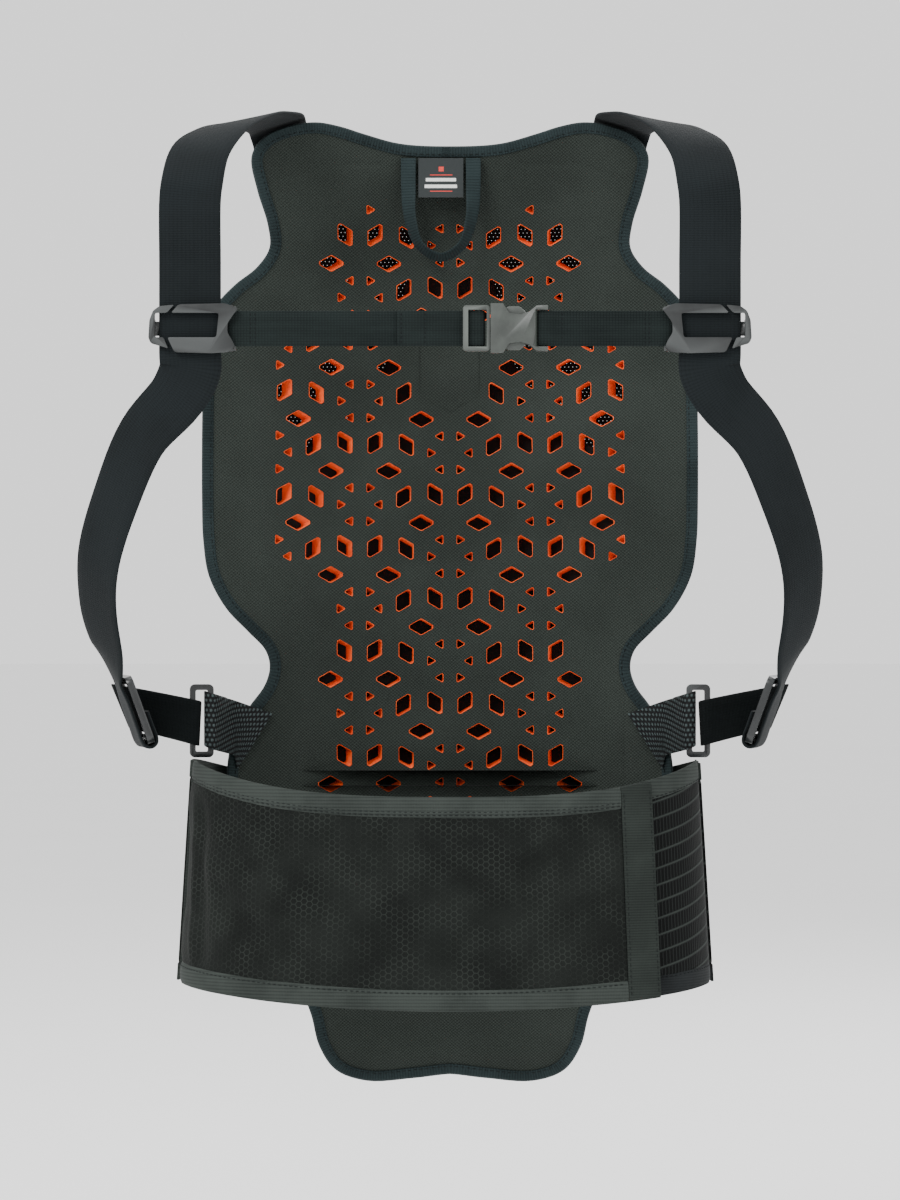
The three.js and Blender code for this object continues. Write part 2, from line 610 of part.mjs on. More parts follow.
// A springy prong: its head fills the housing's window and latches behind the mouth.
function prong(side) {
  const { mouth } = BUCKLE;
  const z = (up) => CHEST_Z + side * up;
  const outline_ = [
    [mouth + 0.3, z(7.5)], [mouth + 18.5, z(5.2)], [mouth + 20.6, z(7)], [mouth + 19.6, z(9.6)],
    [mouth + 16.5, z(12.4)], [mouth + 10, z(12.4)], [mouth + 8, z(11)], [mouth + 7.8, z(9.6)],
    [mouth + 0.3, z(9.8)],
  ];
  return prism(polygon(side > 0 ? outline_ : outline_.reverse()), CHEST_Y - 2.1, CHEST_Y + 2.1);
}

// ---------------------------------------------------------------- kidney belt

const flare = (x, z) => x * (1 - 0.0004 * (z + 100));

// The belt's front half in plan, from one hinge to the other, as points on its outer face.
const FRONT_HALF = [[153.5, BELT_HINGE_Y - 0.4], [151, -102], [139, -125], [115, -142], [85, -152],
[45, -158]];
const frontCurve = new THREE.CatmullRomCurve3(
  [
    ...FRONT_HALF.map(([x, y]) => v3(-x, y, 0)), v3(0, -160, 0),
    ...FRONT_HALF.map(([x, y]) => v3(x, y, 0)).reverse(),
  ],
  false,
  'centripetal',
);

// The curve's parameter at a distance x from the middle.
function frontAt(x) {
  let [low, high] = [0, 1];
  for (let i = 0; i < 30; i++) {
    const middle = (low + high) / 2;
    if (frontCurve.getPoint(middle).x < x) low = middle;
    else high = middle;
  }
  return low;
}

// Part of the belt's front: between two parameters, offset inwards, between two heights.
function frontWall([from, to], inset, thickness, heights, steps, rows = 2) {
  const rim = (depth) =>
    range(steps + 1).map((i) => {
      const t = from + ((to - from) * i) / steps;
      const at = frontCurve.getPoint(t);
      const travel = frontCurve.getTangent(t);
      const x = at.x - travel.y * depth;
      const y = at.y + travel.x * depth;
      const [low, high] = heights(at.x);
      return range(rows + 1).map((j) => {
        const z = low + ((high - low) * j) / rows;
        return v3(flare(x, z), y, z);
      });
    });
  return sheet(rim(inset), rim(inset + thickness));
}

const wholeHeight = (x) => [beltBottom(x), beltTop(x)];
const middleHeight = (x) => [beltBottom(x) + BELT_EDGE_BAND + GAP, beltTop(x) - BELT_EDGE_BAND - GAP];
const topHeight = (x) => [beltTop(x) - BELT_EDGE_BAND, beltTop(x)];
const bottomHeight = (x) => [beltBottom(x), beltBottom(x) + BELT_EDGE_BAND];
const patchHeight = (x) => [beltBottom(x) + 16, beltTop(x) - 16];

const PIPING_END = 0.012;
const wingLeft = [PIPING_END + 0.001, frontAt(END_BAND_X - GAP)];
const endBand = [frontAt(END_BAND_X), frontAt(WING_END_X)];
const wingRight = [frontAt(58), 1];
const leftPieces = {
  wing_left_panel: frontWall(wingLeft, 0.6, LEFT_WING_THICK, middleHeight, 14),
  wing_left_top_binding: frontWall(wingLeft, 0, END_BAND_THICK, topHeight, 14, 1),
  wing_left_bottom_binding: frontWall(wingLeft, 0, END_BAND_THICK, bottomHeight, 14, 1),
  wing_left_end_band: frontWall(endBand, 0, END_BAND_THICK, wholeHeight, 3),
  wing_left_piping: frontWall([0, PIPING_END], -0.4, 3.6, wholeHeight, 1),
  hook_patch: frontWall([frontAt(100), frontAt(116)], END_BAND_THICK + GAP, 0.9, patchHeight, 3, 1),
};
const rightPieces = {
  wing_right_panel: frontWall(wingRight, RIGHT_WING_INSET, RIGHT_WING_THICK, middleHeight, 8),
  wing_right_top_binding: frontWall(wingRight, RIGHT_WING_INSET, RIGHT_WING_THICK, topHeight, 8, 1),
  wing_right_bottom_binding: frontWall(wingRight, RIGHT_WING_INSET, RIGHT_WING_THICK, bottomHeight, 8, 1),
  loop_patch: frontWall([frontAt(62), frontAt(116)], 4.5, 0.8, patchHeight, 5, 1),
};

// The belt's side, from the back section forward to the hinge, following the panel's tilt at first.
function beltSide(hingeX) {
  const start = [BELT_BACK_HALF + GAP, -along(WRAP, BELT_BACK_HALF) + BELT_BACK[0]];
  const plan = new THREE.CatmullRomCurve3([
    v3(...start, 0), v3(136, -15.5, 0), v3(146.5, -33, 0), v3(hingeX - 0.8, -60, 0),
    v3(hingeX, BELT_HINGE_Y + 0.4, 0),
  ]);
  const rows = 4;
  const steps = 8;
  const rim = (depth) =>
    range(steps + 1).map((i) => {
      const at = plan.getPoint(i / steps);
      const travel = plan.getTangent(i / steps);
      const follow = 1 - THREE.MathUtils.smoothstep(i / steps, 0.1, 0.9);
      return range(rows + 1).map((j) => {
        const [low, high] = wholeHeight(at.x);
        const z = low + ((high - low) * j) / rows;
        const x = at.x - travel.y * depth;
        const spread = THREE.MathUtils.lerp(flare(x, z), x, follow);
        return v3(spread, at.y + travel.x * depth + along(SPINE, z) * follow, z);
      });
    });
  return sheet(rim(0), rim(1.6));
}

// ---------------------------------------------------------------- neck: hanging loop and size label

const NECK_Z = 325.6;
const NECK_Y = panelY(0, NECK_Z) - 2.2;

function hangerLoop() {
  const y = NECK_Y;
  return ribbon(
    [
      [[-25, y, NECK_Z], [0, -1, 0]],
      [[-25, y, 308], [-0.3, -0.95, 0]],
      [[-24.5, y, 290], [-0.95, -0.3, -0.1]],
      [[-18, y, 273], [-0.8, 0, -0.6]],
      [[-5.5, y, 266], [0, 0, -1]],
      [[7, y, 273], [0.8, 0, -0.6]],
      [[13.5, y, 290], [0.95, -0.3, -0.1]],
      [[14, y, 308], [0.3, -0.95, 0]],
      [[14, y, NECK_Z], [0, -1, 0]],
    ],
    9,
    1,
    28,
  );
}

const sizeLabel = box([-19, 8], [NECK_Y - 0.4, NECK_Y + 0.4], [302, NECK_Z]);

// ---------------------------------------------------------------- materials and assembly

const finish = (color, roughness, metalness = 0) => new THREE.MeshStandardMaterial({ color, roughness, metalness });
const linerMesh = finish(0x313733, 0.95);
const foamOrange = finish(0xf05a28, 0.8);
const coverMesh = finish(0x23292b, 0.95);
const bindingTape = finish(0x2f3a3b, 0.85);
const strapWeb = finish(0x1e2629, 0.9);
const chestWeb = finish(0x2c3433, 0.85);
const beltMesh = finish(0x2e3230, 0.92);
const beltTape = finish(0x383d3b, 0.9);
const ribElastic = finish(0x33373a, 0.9);
const meshWeb = finish(0x1f2425, 0.9);
const glossPlastic = finish(0x555b5b, 0.3);
const bucklePlastic = finish(0x5b605c, 0.45);
const hookTape = finish(0x17191a, 1);
const labelCloth = finish(0x1f3133, 0.9);

const protector = new THREE.Group();
function add(name, source, material, parent = protector) {
  const geometry = source.isBufferGeometry ? source : toGeometry(source);
  geometry.computeVertexNormals();
  const mesh = new THREE.Mesh(geometry, material);
  mesh.name = name;
  parent.add(mesh);
  return mesh;
}

const panelFinish = {
  liner_panel: linerMesh,
  core_foam: foamOrange,
  spine_stiffener: coverMesh,
  outer_cover: coverMesh,
  edge_binding: bindingTape,
  spine_overlay: strapWeb,
  belt_back: beltMesh,
};
for (const [name, piece] of Object.entries(panelPieces)) add(name, piece, panelFinish[name]);

for (const [side, mirror] of [['right', 1], ['left', -1]]) {
  const half = new THREE.Group();
  half.scale.x = mirror;
  protector.add(half);
  add(`shoulder_strap_${side}`, shoulderStrap(), strapWeb, half);
  add(`side_loop_${side}`, sideLoop(), strapWeb, half);
  add(`mesh_tab_${side}`, meshTab(), meshWeb, half);
  add(`chest_slider_${side}`, slider(), glossPlastic, half);
  add(`belt_side_${side}`, beltSide(side === 'left' ? 153.5 : 148),
  side === 'left' ? beltMesh : ribElastic, half);
  for (const [name, ring] of [[`strap_end_ring_${side}`, endRing], [`side_ring_${side}`, sideRing]]) {
    const mesh = add(name, ring.geometry.clone(), glossPlastic, half);
    mesh.position.set(...ring.position);
    mesh.rotation.z = ring.turn;
  }
}

add('chest_web_right', chestWebRight(), chestWeb);
add('chest_web_left', chestWebLeft(), chestWeb);
add('buckle_housing', buckleHousing(), bucklePlastic);
add('buckle_insert', buckleInsert(), bucklePlastic);
add('buckle_prong_upper', prong(1), bucklePlastic);
add('buckle_prong_lower', prong(-1), bucklePlastic);

const beltFinish = {
  wing_left_panel: beltMesh,
  wing_right_panel: ribElastic,
  hook_patch: hookTape,
  loop_patch: hookTape,
};
for (const [name, piece] of Object.entries({ ...leftPieces, ...rightPieces })) {
  add(name, piece, beltFinish[name] ?? beltTape);
}

add('hanger_loop', hangerLoop(), bindingTape);
add('size_label', sizeLabel, labelCloth);

export default protector;
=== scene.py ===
# Looks for the back protector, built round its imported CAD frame. Lengths in this script are in
# millimetres in the row's frame unless a name says otherwise, and pieces are made in metres.
import math
import bpy
import numpy as np
from mathutils import Matrix, Vector, noise
from mathutils.geometry import delaunay_2d_cdt


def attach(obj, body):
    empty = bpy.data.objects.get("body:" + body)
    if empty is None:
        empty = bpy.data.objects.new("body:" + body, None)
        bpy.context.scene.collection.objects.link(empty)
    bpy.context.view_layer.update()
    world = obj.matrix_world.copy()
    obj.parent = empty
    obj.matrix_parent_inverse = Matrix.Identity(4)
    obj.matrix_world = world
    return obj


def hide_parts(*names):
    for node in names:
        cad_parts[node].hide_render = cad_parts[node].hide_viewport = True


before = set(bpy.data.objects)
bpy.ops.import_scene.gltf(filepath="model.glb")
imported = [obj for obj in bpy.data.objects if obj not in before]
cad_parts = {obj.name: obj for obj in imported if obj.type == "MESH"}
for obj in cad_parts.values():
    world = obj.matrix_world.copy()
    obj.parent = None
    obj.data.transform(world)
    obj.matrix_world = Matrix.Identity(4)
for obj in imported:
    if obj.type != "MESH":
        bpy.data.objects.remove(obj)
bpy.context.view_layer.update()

MM = 0.001

# ------------------------------------------------------------------ sizes shared with the CAD

LINER = (0, 0.9)
CORE = (1.2, 9.2)
STIFFENER = (9.5, 10.5)
COVER = (10.8, 11.8)
OVERLAY = (13.1, 14.3)
BELT_BACK = (13.2, 14.8)
BINDING_WIDTH = 6.8
PANEL_TOP = 333
FLAT_HALF = 22
LATTICE = 62.7
LATTICE_Z = 148.9
RHOMB_SIDE = 10.6
RHOMB_PAIR = (25.2, 9.0)
TRIANGLE = (11.7, 6.8)
PLAIN_SPOT = (203, 30)
STRAP_WIDTH = 35
STRAP_THICK = 1.8
STRAP_X, STRAP_Y = 147, -150
CHEST_Z, CHEST_Y = 213.5, -150.4
BELT_BACK_HALF = 122
BELT_HINGE_Y = -80
BELT_EDGE_BAND = 12
WING_END_X, END_BAND_X = 117, 99
RIGHT_WING_INSET = 5.6

SPINE = [(-240, 32), (-170, 20), (-110, 9.4), (-60, 2.4), (-20, 0), (20, 0), (70, 4.8), (130, 14.4),
         (190, 22.4), (245, 24), (300, 16), (350, -2)]
HALF_OUTLINE = [
    (0, PANEL_TOP), (30, 334.5), (52, 340), (66, 344), (80, 346), (96, 343.5), (111, 336.5), (118.5, 325),
    (115.5, 306), (109.5, 286), (108.5, 272), (116, 260), (129, 249), (140, 236), (146, 218), (147.5, 190),
    (147.5, 120), (146.5, 95), (143, 74), (133, 55), (120, 41), (110, 30), (107.5, 20), (110.5, 9),
    (119, -3), (127, -16), (132, -36), (132, -66), (124, -100), (107, -140), (92, -170), (84, -190),
    (79, -210), (69, -225), (50, -232), (22, -230.5), (0, -228)]


# ------------------------------------------------------------------ curves and surfaces

def catmull(points, t):
    """A point on the centripetal Catmull-Rom curve through points, at t from 0 to 1."""
    last = len(points) - 1
    i = min(int(last * t), last - 1)
    w = last * t - i
    p1, p2 = points[i], points[i + 1]
    p0 = points[i - 1] if i else 2 * p1 - p2
    p3 = points[i + 2] if i + 2 <= last else 2 * p2 - p1
    d0, d1, d2 = (float(((b - a) ** 2).sum()) ** 0.25 for a, b in ((p0, p1), (p1, p2), (p2, p3)))
    d1 = d1 if d1 > 1e-4 else 1
    d0 = d0 if d0 > 1e-4 else d1
    d2 = d2 if d2 > 1e-4 else d1
    m1 = ((p1 - p0) / d0 - (p2 - p0) / (d0 + d1) + (p2 - p1) / d1) * d1
    m2 = ((p2 - p1) / d1 - (p3 - p1) / (d1 + d2) + (p3 - p2) / d2) * d1
    return p1 + m1 * w + (3 * (p2 - p1) - 2 * m1 - m2) * w ** 2 + (2 * (p1 - p2) + m1 + m2) * w ** 3


def curve(points, steps):
    """Points and unit tangents at even parameters along the curve through points."""
    points = [np.array(p, float) for p in points]
    ts = np.linspace(0, 1, steps + 1)
    at = np.array([catmull(points, t) for t in ts])
    ahead = np.array([catmull(points, min(t + 1e-4, 1)) - catmull(points, max(t - 1e-4, 0)) for t in ts])
    return at, ahead / np.linalg.norm(ahead, axis=1, keepdims=True)


_spine_z = np.array([z for z, _ in SPINE], float)
_spine_y = np.array([y for _, y in SPINE], float)
_slope = np.gradient(_spine_y, _spine_z)
_slope[np.abs(_spine_z) == 20] = 0


def spine_y(z):
    z = np.asarray(z, float)
    i = np.clip(np.searchsorted(_spine_z, z) - 1, 0, len(_spine_z) - 2)
    h = _spine_z[i + 1] - _spine_z[i]
    t = (z - _spine_z[i]) / h
    return ((2 * t ** 3 - 3 * t ** 2 + 1) * _spine_y[i] + (t ** 3 - 2 * t ** 2 + t) * h * _slope[i]
            + (3 * t ** 2 - 2 * t ** 3) * _spine_y[i + 1] + (t ** 3 - t ** 2) * h * _slope[i + 1])


def wrap(x):
    return np.maximum(np.abs(np.asarray(x, float)) - FLAT_HALF, 0) ** 2 / 410


def panel_y(x, z):
    return spine_y(z) - wrap(x)


def outline(inset, per=5):
    """The panel's outline as a closed loop of (x, z), moved inwards by an inset."""
    ends = [(-30, 334.5)] + HALF_OUTLINE + [(-22, -228)]
    at, travel = curve(ends, (len(ends) - 1) * per)
    at, travel = at[per:-per], travel[per:-per]
    half = at + np.stack([travel[:, 1], -travel[:, 0]], 1) * inset
    half[0, 0] = half[-1, 0] = 0
    return np.concatenate([half, half[-2:0:-1] * [-1, 1]])


def rounded(corners, radius, steps=4):
    """A closed polygon with its corners rounded."""
    corners = [np.array(c, float) for c in corners]
    points = []
    for i, c in enumerate(corners):
        a = corners[i - 1] - c
        b = corners[(i + 1) % len(corners)] - c
        a, b = a / np.linalg.norm(a), b / np.linalg.norm(b)
        half = math.acos(np.clip(a @ b, -1, 1)) / 2
        reach = radius / math.tan(half)
        centre = c + (a + b) / np.linalg.norm(a + b) * radius / math.sin(half)
        start, end = c + a * reach - centre, c + b * reach - centre
        for k in range(steps + 1):
            mix = start * (1 - k / steps) + end * (k / steps)
            points.append(centre + mix / np.linalg.norm(mix) * radius)
    return np.array(points)


def inside(points, loop):
    """Which points lie inside a closed loop."""
    x, z = points[:, 0], points[:, 1]
    result = np.zeros(len(points), bool)
    for (x0, z0), (x1, z1) in zip(loop, np.roll(loop, -1, 0)):
        if z0 == z1:
            continue
        crossing = ((z0 > z) != (z1 > z)) & (x < (x1 - x0) * (z - z0) / (z1 - z0) + x0)
        result ^= crossing
    return result


# ------------------------------------------------------------------ making meshes

def piece(name, verts, faces, material, body, replaces=(), uv=None, sharp=35):
    """A closed mesh in the row frame, riding on a body. verts in mm; uv is (u, v) in mm per vertex."""
    mesh = bpy.data.meshes.new(name)
    mesh.from_pydata([tuple(v) for v in np.asarray(verts, float) * MM], [], faces)
    mesh.validate()
    points = np.array([v.co for v in mesh.vertices])
    volume = 0
    mesh.calc_loop_triangles()
    for tri in mesh.loop_triangles:
        a, b, c = (points[i] for i in tri.vertices)
        volume += a @ np.cross(b, c)
    if volume < 0:
        mesh.flip_normals()
    if uv is not None:
        layer = mesh.uv_layers.new(name="UVMap")
        for loop in mesh.loops:
            layer.data[loop.index].uv = uv[loop.vertex_index]
    mesh.shade_smooth()
    mesh.set_sharp_from_angle(angle=math.radians(sharp))
    obj = bpy.data.objects.new(name, mesh)
    bpy.context.collection.objects.link(obj)
    for one in material if isinstance(material, (list, tuple)) else [material]:
        mesh.materials.append(one)
    if replaces:
        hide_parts(*([replaces] if isinstance(replaces, str) else replaces))
    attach(obj, body)
    return obj


def plate(loop, holes, spacing, near, far, lift=None, creases=(), square=False):
    """A layer of the panel: its outline filled round its holes, between two depths behind the liner.
    With square, holes run square to the curved surface instead of straight back."""
    loops = [np.asarray(loop)] + [np.asarray(h) for h in holes]
    points, edges = [], []
    for one in loops:
        first = len(points)
        points += list(one)
        edges += [(first + i, first + (i + 1) % len(one)) for i in range(len(one))]
    for line in creases:
        first = len(points)
        points += list(line)
        edges += [(first + i, first + i + 1) for i in range(len(line) - 1)]
    fixed = np.array(points)
    lo, hi = loops[0].min(0), loops[0].max(0)
    xs, zs = np.arange(lo[0], hi[0], spacing), np.arange(lo[1], hi[1], spacing * 0.87)
    free = np.array([(x + (spacing / 2 if j % 2 else 0), z) for j, z in enumerate(zs) for x in xs])
    free = free[inside(free, loops[0])]
    middle = [(h.mean(0), np.linalg.norm(h - h.mean(0), axis=1).max()) for h in loops[1:]]
    keep = np.ones(len(free), bool)
    for centre, reach in middle:
        keep &= np.linalg.norm(free - centre, axis=1) > reach + 0.5
    free = free[keep]
    near_edge = np.array([np.min(((fixed - p) ** 2).sum(1)) for p in free])
    free = free[near_edge > (spacing * 0.45) ** 2]
    everything = [Vector(p) for p in np.concatenate([fixed, free])]
    verts, _, tris, *_ = delaunay_2d_cdt(everything, edges, [], 0, 1e-5)
    flat = np.array([tuple(v) for v in verts])
    tris = np.array([t for t in tris if len(t) == 3])
    centre = flat[tris].mean(1)
    keep = inside(centre, loops[0])
    for hole, (mid, reach) in zip(loops[1:], middle):
        close = np.where(np.linalg.norm(centre - mid, axis=1) < reach)[0]
        keep[close[inside(centre[close], hole)]] = False
    tris = tris[keep]
    used, tris = np.unique(tris, return_inverse=True)
    flat, tris = flat[used], tris.reshape(-1, 3)
    base = panel_y(flat[:, 0], flat[:, 1])
    raise_ = lift(flat) if lift else 0
    front = np.stack([flat[:, 0], base + near + raise_, flat[:, 1]], 1)
    behind = flat.copy()
    if square:
        fade = np.array([np.clip((math.sqrt(np.min(((loops[0] - p) ** 2).sum(1))) - 8) / 14, 0, 1) for p in flat])
        tilt_x = 2 * np.maximum(np.abs(flat[:, 0]) - FLAT_HALF, 0) / 410 * np.sign(flat[:, 0])
        tilt_z = spine_y(flat[:, 1] - 1) / 2 - spine_y(flat[:, 1] + 1) / 2
        lean = np.stack([1.9 * tilt_x - 0.1, 1.7 * tilt_z + 0.1], 1)
        behind += lean * ((far - near) * fade)[:, None]
    back = np.stack([behind[:, 0], panel_y(behind[:, 0], behind[:, 1]) + far, behind[:, 1]], 1)
    n = len(flat)
    directed = {(t[i], t[(i + 1) % 3]) for t in tris for i in range(3)}
    faces = [tuple(t) for t in tris] + [tuple(t[::-1] + n) for t in tris]
    for a, b in directed:
        if (b, a) not in directed:
            faces.append((b, a, a + n, b + n))
    return np.concatenate([front, back]), [tuple(int(i) for i in f) for f in faces]


def tube(rings, us, vs, closed=False):
    """A closed body through rings of points. us and vs give each point's and each ring's mm for the weave."""
    rings = np.asarray(rings)
    count, k = rings.shape[:2]
    verts = rings.reshape(-1, 3)
    uv = [(us[j], vs[i]) for i in range(count) for j in range(k)]
    faces = []
    for i in range(count if closed else count - 1):
        n = (i + 1) % count
        for j in range(k):
            m = (j + 1) % k
            faces.append((i * k + j, n * k + j, n * k + m, i * k + m))
    if not closed:
        faces.append(tuple(range(k)))
        faces.append(tuple((count - 1) * k + j for j in reversed(range(k))))
    return verts, faces, uv


def web_section(width, thick, columns=8):
    """A webbing's section: (across, out) pairs with soft edges."""
    w, t = width / 2, thick / 2
    top = [(-w, 0), (-w + 0.15 * thick, 0.62 * t), (-w + 0.5 * thick, t)]
    top += [(a, t) for a in np.linspace(-w + 0.5 * thick, w - 0.5 * thick, columns)[1:-1]]
    top += [(w - 0.5 * thick, t), (w - 0.15 * thick, 0.62 * t)]
    return np.array(top + [(-a, -b) for a, b in top])


def ribbon(stations, width, thick, steps, sway=0.0, seed=0):
    """A webbing through stations of (place, facing). Returns tube parts, its centre line, across and out."""
    at, travel = curve([s[0] for s in stations], steps)
    face, _ = curve([s[1] for s in stations], steps)
    across = np.cross(travel, face)
    across /= np.linalg.norm(across, axis=1, keepdims=True)
    out = np.cross(across, travel)
    section = web_section(width, thick)
    along = np.concatenate([[0], np.cumsum(np.linalg.norm(np.diff(at, axis=0), axis=1))])
    rings = []
    for i in range(len(at)):
        wave = sway * np.array([noise.noise(Vector((along[i] * 0.02, a * 0.05, seed))) for a, _ in section])
        rings.append(at[i] + np.outer(section[:, 0], across[i]) + np.outer(section[:, 1] + wave, out[i]))
    return tube(rings, section[:, 0], along), at, across, out, along


def soften(line, rounds=3):
    """Cuts the corners of an open line of points, keeping its ends."""
    line = np.asarray(line, float)
    for _ in range(rounds):
        a, b = line[:-1], line[1:]
        cut = np.stack([0.75 * a + 0.25 * b, 0.25 * a + 0.75 * b], 1).reshape(-1, line.shape[1])
        line = np.concatenate([line[:1], cut, line[-1:]])
    return line


def folded_web(line, thick, z_low, z_high, shear=(0, 0), closed=False):
    """A webbing whose plan is a line of (x, y), standing on edge between two heights."""
    line = np.asarray(line, float)
    if closed:
        ahead = np.roll(line, -1, 0) - np.roll(line, 1, 0)
    else:
        ahead = np.gradient(line, axis=0)
    ahead /= np.linalg.norm(ahead, axis=1, keepdims=True)
    side = np.stack([-ahead[:, 1], ahead[:, 0]], 1)
    along = np.concatenate([[0], np.cumsum(np.linalg.norm(np.diff(line, axis=0), axis=1))])
    section = web_section(z_high - z_low, thick, 6)
    rings = []
    for p, s in zip(line, side):
        xy = p + np.outer(section[:, 1], s)
        z = (z_low + z_high) / 2 + section[:, 0] + shear[0] * (xy[:, 0] - shear[1])
        rings.append(np.column_stack([xy, z]))
    return tube(rings, section[:, 0], along, closed)


def stitches(points, normals, pitch=3.4, length=2.3, radius=0.32, sink=0.1):
    """Thread along a line of points: a small rounded stitch every pitch. Returns verts and faces."""
    points, normals = np.asarray(points, float), np.asarray(normals, float)
    along = np.concatenate([[0], np.cumsum(np.linalg.norm(np.diff(points, axis=0), axis=1))])
    verts, faces = [], []
    for s in np.arange(pitch / 2, along[-1] - length / 2, pitch):
        ends = [np.array([np.interp(s + d, along, points[:, k]) for k in range(3)])
                for d in (-length / 2, -length / 4, length / 4, length / 2)]
        up = np.array([np.interp(s, along, normals[:, k]) for k in range(3)])
        up /= np.linalg.norm(up)
        ahead = (ends[3] - ends[0]) / np.linalg.norm(ends[3] - ends[0])
        side = np.cross(ahead, up)
        first = len(verts)
        verts.append(ends[0] - up * sink)
        for p in ends[1:3]:
            for k in range(6):
                turn = k * math.pi / 3
                verts.append(p + (side * math.cos(turn) + up * math.sin(turn)) * radius - up * sink * 0.3)
        verts.append(ends[3] - up * sink)
        for k in range(6):
            m = (k + 1) % 6
            faces.append((first, first + 1 + k, first + 1 + m))
            faces.append((first + 1 + k, first + 7 + k, first + 7 + m, first + 1 + m))
            faces.append((first + 7 + k, first + 13, first + 7 + m))
    return verts, faces


class Thread:
    """Collects stitch lines that belong to one body."""

    def __init__(self):
        self.verts, self.faces = [], []

    def line(self, points, normals, **how):
        verts, faces = stitches(points, normals, **how)
        base = len(self.verts)
        self.verts += verts
        self.faces += [tuple(base + i for i in f) for f in faces]

    def done(self, name, material, body):
        return piece(name, self.verts, self.faces, material, body, sharp=70)


# ------------------------------------------------------------------ materials

def linear(colour):
    """A colour given as 0-255 screen values, as linear RGBA."""
    return [*[(c / 255 / 12.92) if c < 10.3 else ((c / 255 + 0.055) / 1.055) ** 2.4 for c in colour], 1]


class Shade:
    """One procedural material. Its patterns are drawn in millimetres, on the UVs or on the row's X and Z."""

    def __init__(self, name, roughness=0.85, metallic=0.0, specular=0.35, sheen=0.0, coat=0.0):
        self.mat = bpy.data.materials.new(name)
        self.mat.use_nodes = True
        self.tree = self.mat.node_tree
        self.bsdf = self.tree.nodes["Principled BSDF"]
        self.bsdf.inputs["Roughness"].default_value = roughness
        self.bsdf.inputs["Metallic"].default_value = metallic
        self.bsdf.inputs["Specular IOR Level"].default_value = specular
        self.bsdf.inputs["Sheen Weight"].default_value = sheen
        self.bsdf.inputs["Sheen Roughness"].default_value = 0.5
        self.bsdf.inputs["Coat Weight"].default_value = coat

    def node(self, kind, **settings):
        made = self.tree.nodes.new("ShaderNode" + kind)
        for key, value in settings.items():
            setattr(made, key, value)
        return made

    def put(self, socket, value):
        if isinstance(value, bpy.types.NodeSocket):
            self.tree.links.new(value, socket)
        else:
            socket.default_value = value

    def math(self, operation, a, b=0.0, c=0.0):
        made = self.node("Math", operation=operation)
        for socket, value in zip(made.inputs, (a, b, c)):
            self.put(socket, value)
        return made.outputs[0]

    def clamp(self, value, low, high):
        """0 below low, 1 above high, and smooth between."""
        made = self.node("MapRange", interpolation_type="SMOOTHSTEP")
        self.put(made.inputs["Value"], value)
        made.inputs["From Min"].default_value = low
        made.inputs["From Max"].default_value = high
        return made.outputs["Result"]

    def uv(self):
        split = self.node("SeparateXYZ")
        self.put(split.inputs[0], self.node("UVMap").outputs[0])
        return split.outputs[0], split.outputs[1]

    def row(self):
        """X, Y and Z in the row's frame at rest, in mm."""
        split = self.node("SeparateXYZ")
        self.put(split.inputs[0], self.node("TexCoord").outputs["Object"])
        return [self.math("MULTIPLY", split.outputs[k], 1000) for k in range(3)]

    def noise(self, size, detail=3.0, roughness=0.55, coords=None):
        """Cloudy variation with features about size mm across, from 0 to 1."""
        made = self.node("TexNoise")
        if coords is None:
            self.put(made.inputs["Vector"], self.node("TexCoord").outputs["Object"])
            made.inputs["Scale"].default_value = 1000 / size
        else:
            joined = self.node("CombineXYZ")
            for socket, value in zip(joined.inputs, coords):
                self.put(socket, value)
            self.put(made.inputs["Vector"], joined.outputs[0])
            made.inputs["Scale"].default_value = 1 / size
        made.inputs["Detail"].default_value = detail
        made.inputs["Roughness"].default_value = roughness
        return made.outputs["Fac"]

    def wave(self, at, pitch, phase=0.0):
        """A cosine of the given pitch, from 0 to 1."""
        turn = self.math("MULTIPLY_ADD", at, 2 * math.pi / pitch, phase)
        return self.math("MULTIPLY_ADD", self.math("COSINE", turn), 0.5, 0.5)

    def mix(self, factor, a, b):
        made = self.node("Mix", data_type="RGBA")
        self.put(made.inputs["Factor"], factor)
        self.put(made.inputs["A"], linear(a) if isinstance(a, tuple) else a)
        self.put(made.inputs["B"], linear(b) if isinstance(b, tuple) else b)
        return made.outputs["Result"]

    def colour(self, value):
        self.put(self.bsdf.inputs["Base Color"], value)

    def rough(self, factor, low, high):
        self.put(self.bsdf.inputs["Roughness"], self.math("MULTIPLY_ADD", factor, high - low, low))

    def bump(self, height, depth, strength=1.0):
        """A height from 0 to 1, depth mm deep."""
        made = self.node("Bump")
        made.inputs["Strength"].default_value = strength
        made.inputs["Distance"].default_value = depth * MM
        self.put(made.inputs["Height"], height)
        self.put(self.bsdf.inputs["Normal"], made.outputs[0])

    def painted_shade_fabric(self, height, depth, dark, light, strength=1.0, size=40, worn=0.35):
        """The usual fabric: painted shade that makes the gaps darker than the threads' tops, as colour follows the
        pattern's height, with cloudy worn patches, lint and a bump.
        """
        cloud = self.clamp(self.noise(size, 4), 0.3, 0.7)
        lint = self.clamp(self.noise(1.1, 2), 0.62, 0.74)
        # painted shade: the pattern's height drives the colour, so the dips between threads are painted darker
        shade_and_tone = self.math("ADD", self.math("MULTIPLY", height, 1 - worn), self.math("MULTIPLY", cloud, worn))
        shade_and_tone = self.math("ADD", shade_and_tone, self.math("MULTIPLY", lint, 0.18))
        self.colour(self.mix(self.clamp(shade_and_tone, -0.1, 1.1), dark, light))
        self.bump(height, depth, strength)
        return self.mat

    # patterns: each gives a height from 0, between the threads, to 1, on top of them

    def knit(self, u, v, pitch_u, pitch_v):
        """Small staggered knit dimples."""
        product = self.math("MULTIPLY", self.math("SUBTRACT", self.wave(u, pitch_u), 0.5),
                            self.math("SUBTRACT", self.wave(v, pitch_v), 0.5))
        return self.math("MULTIPLY_ADD", product, 2.0, 0.5)

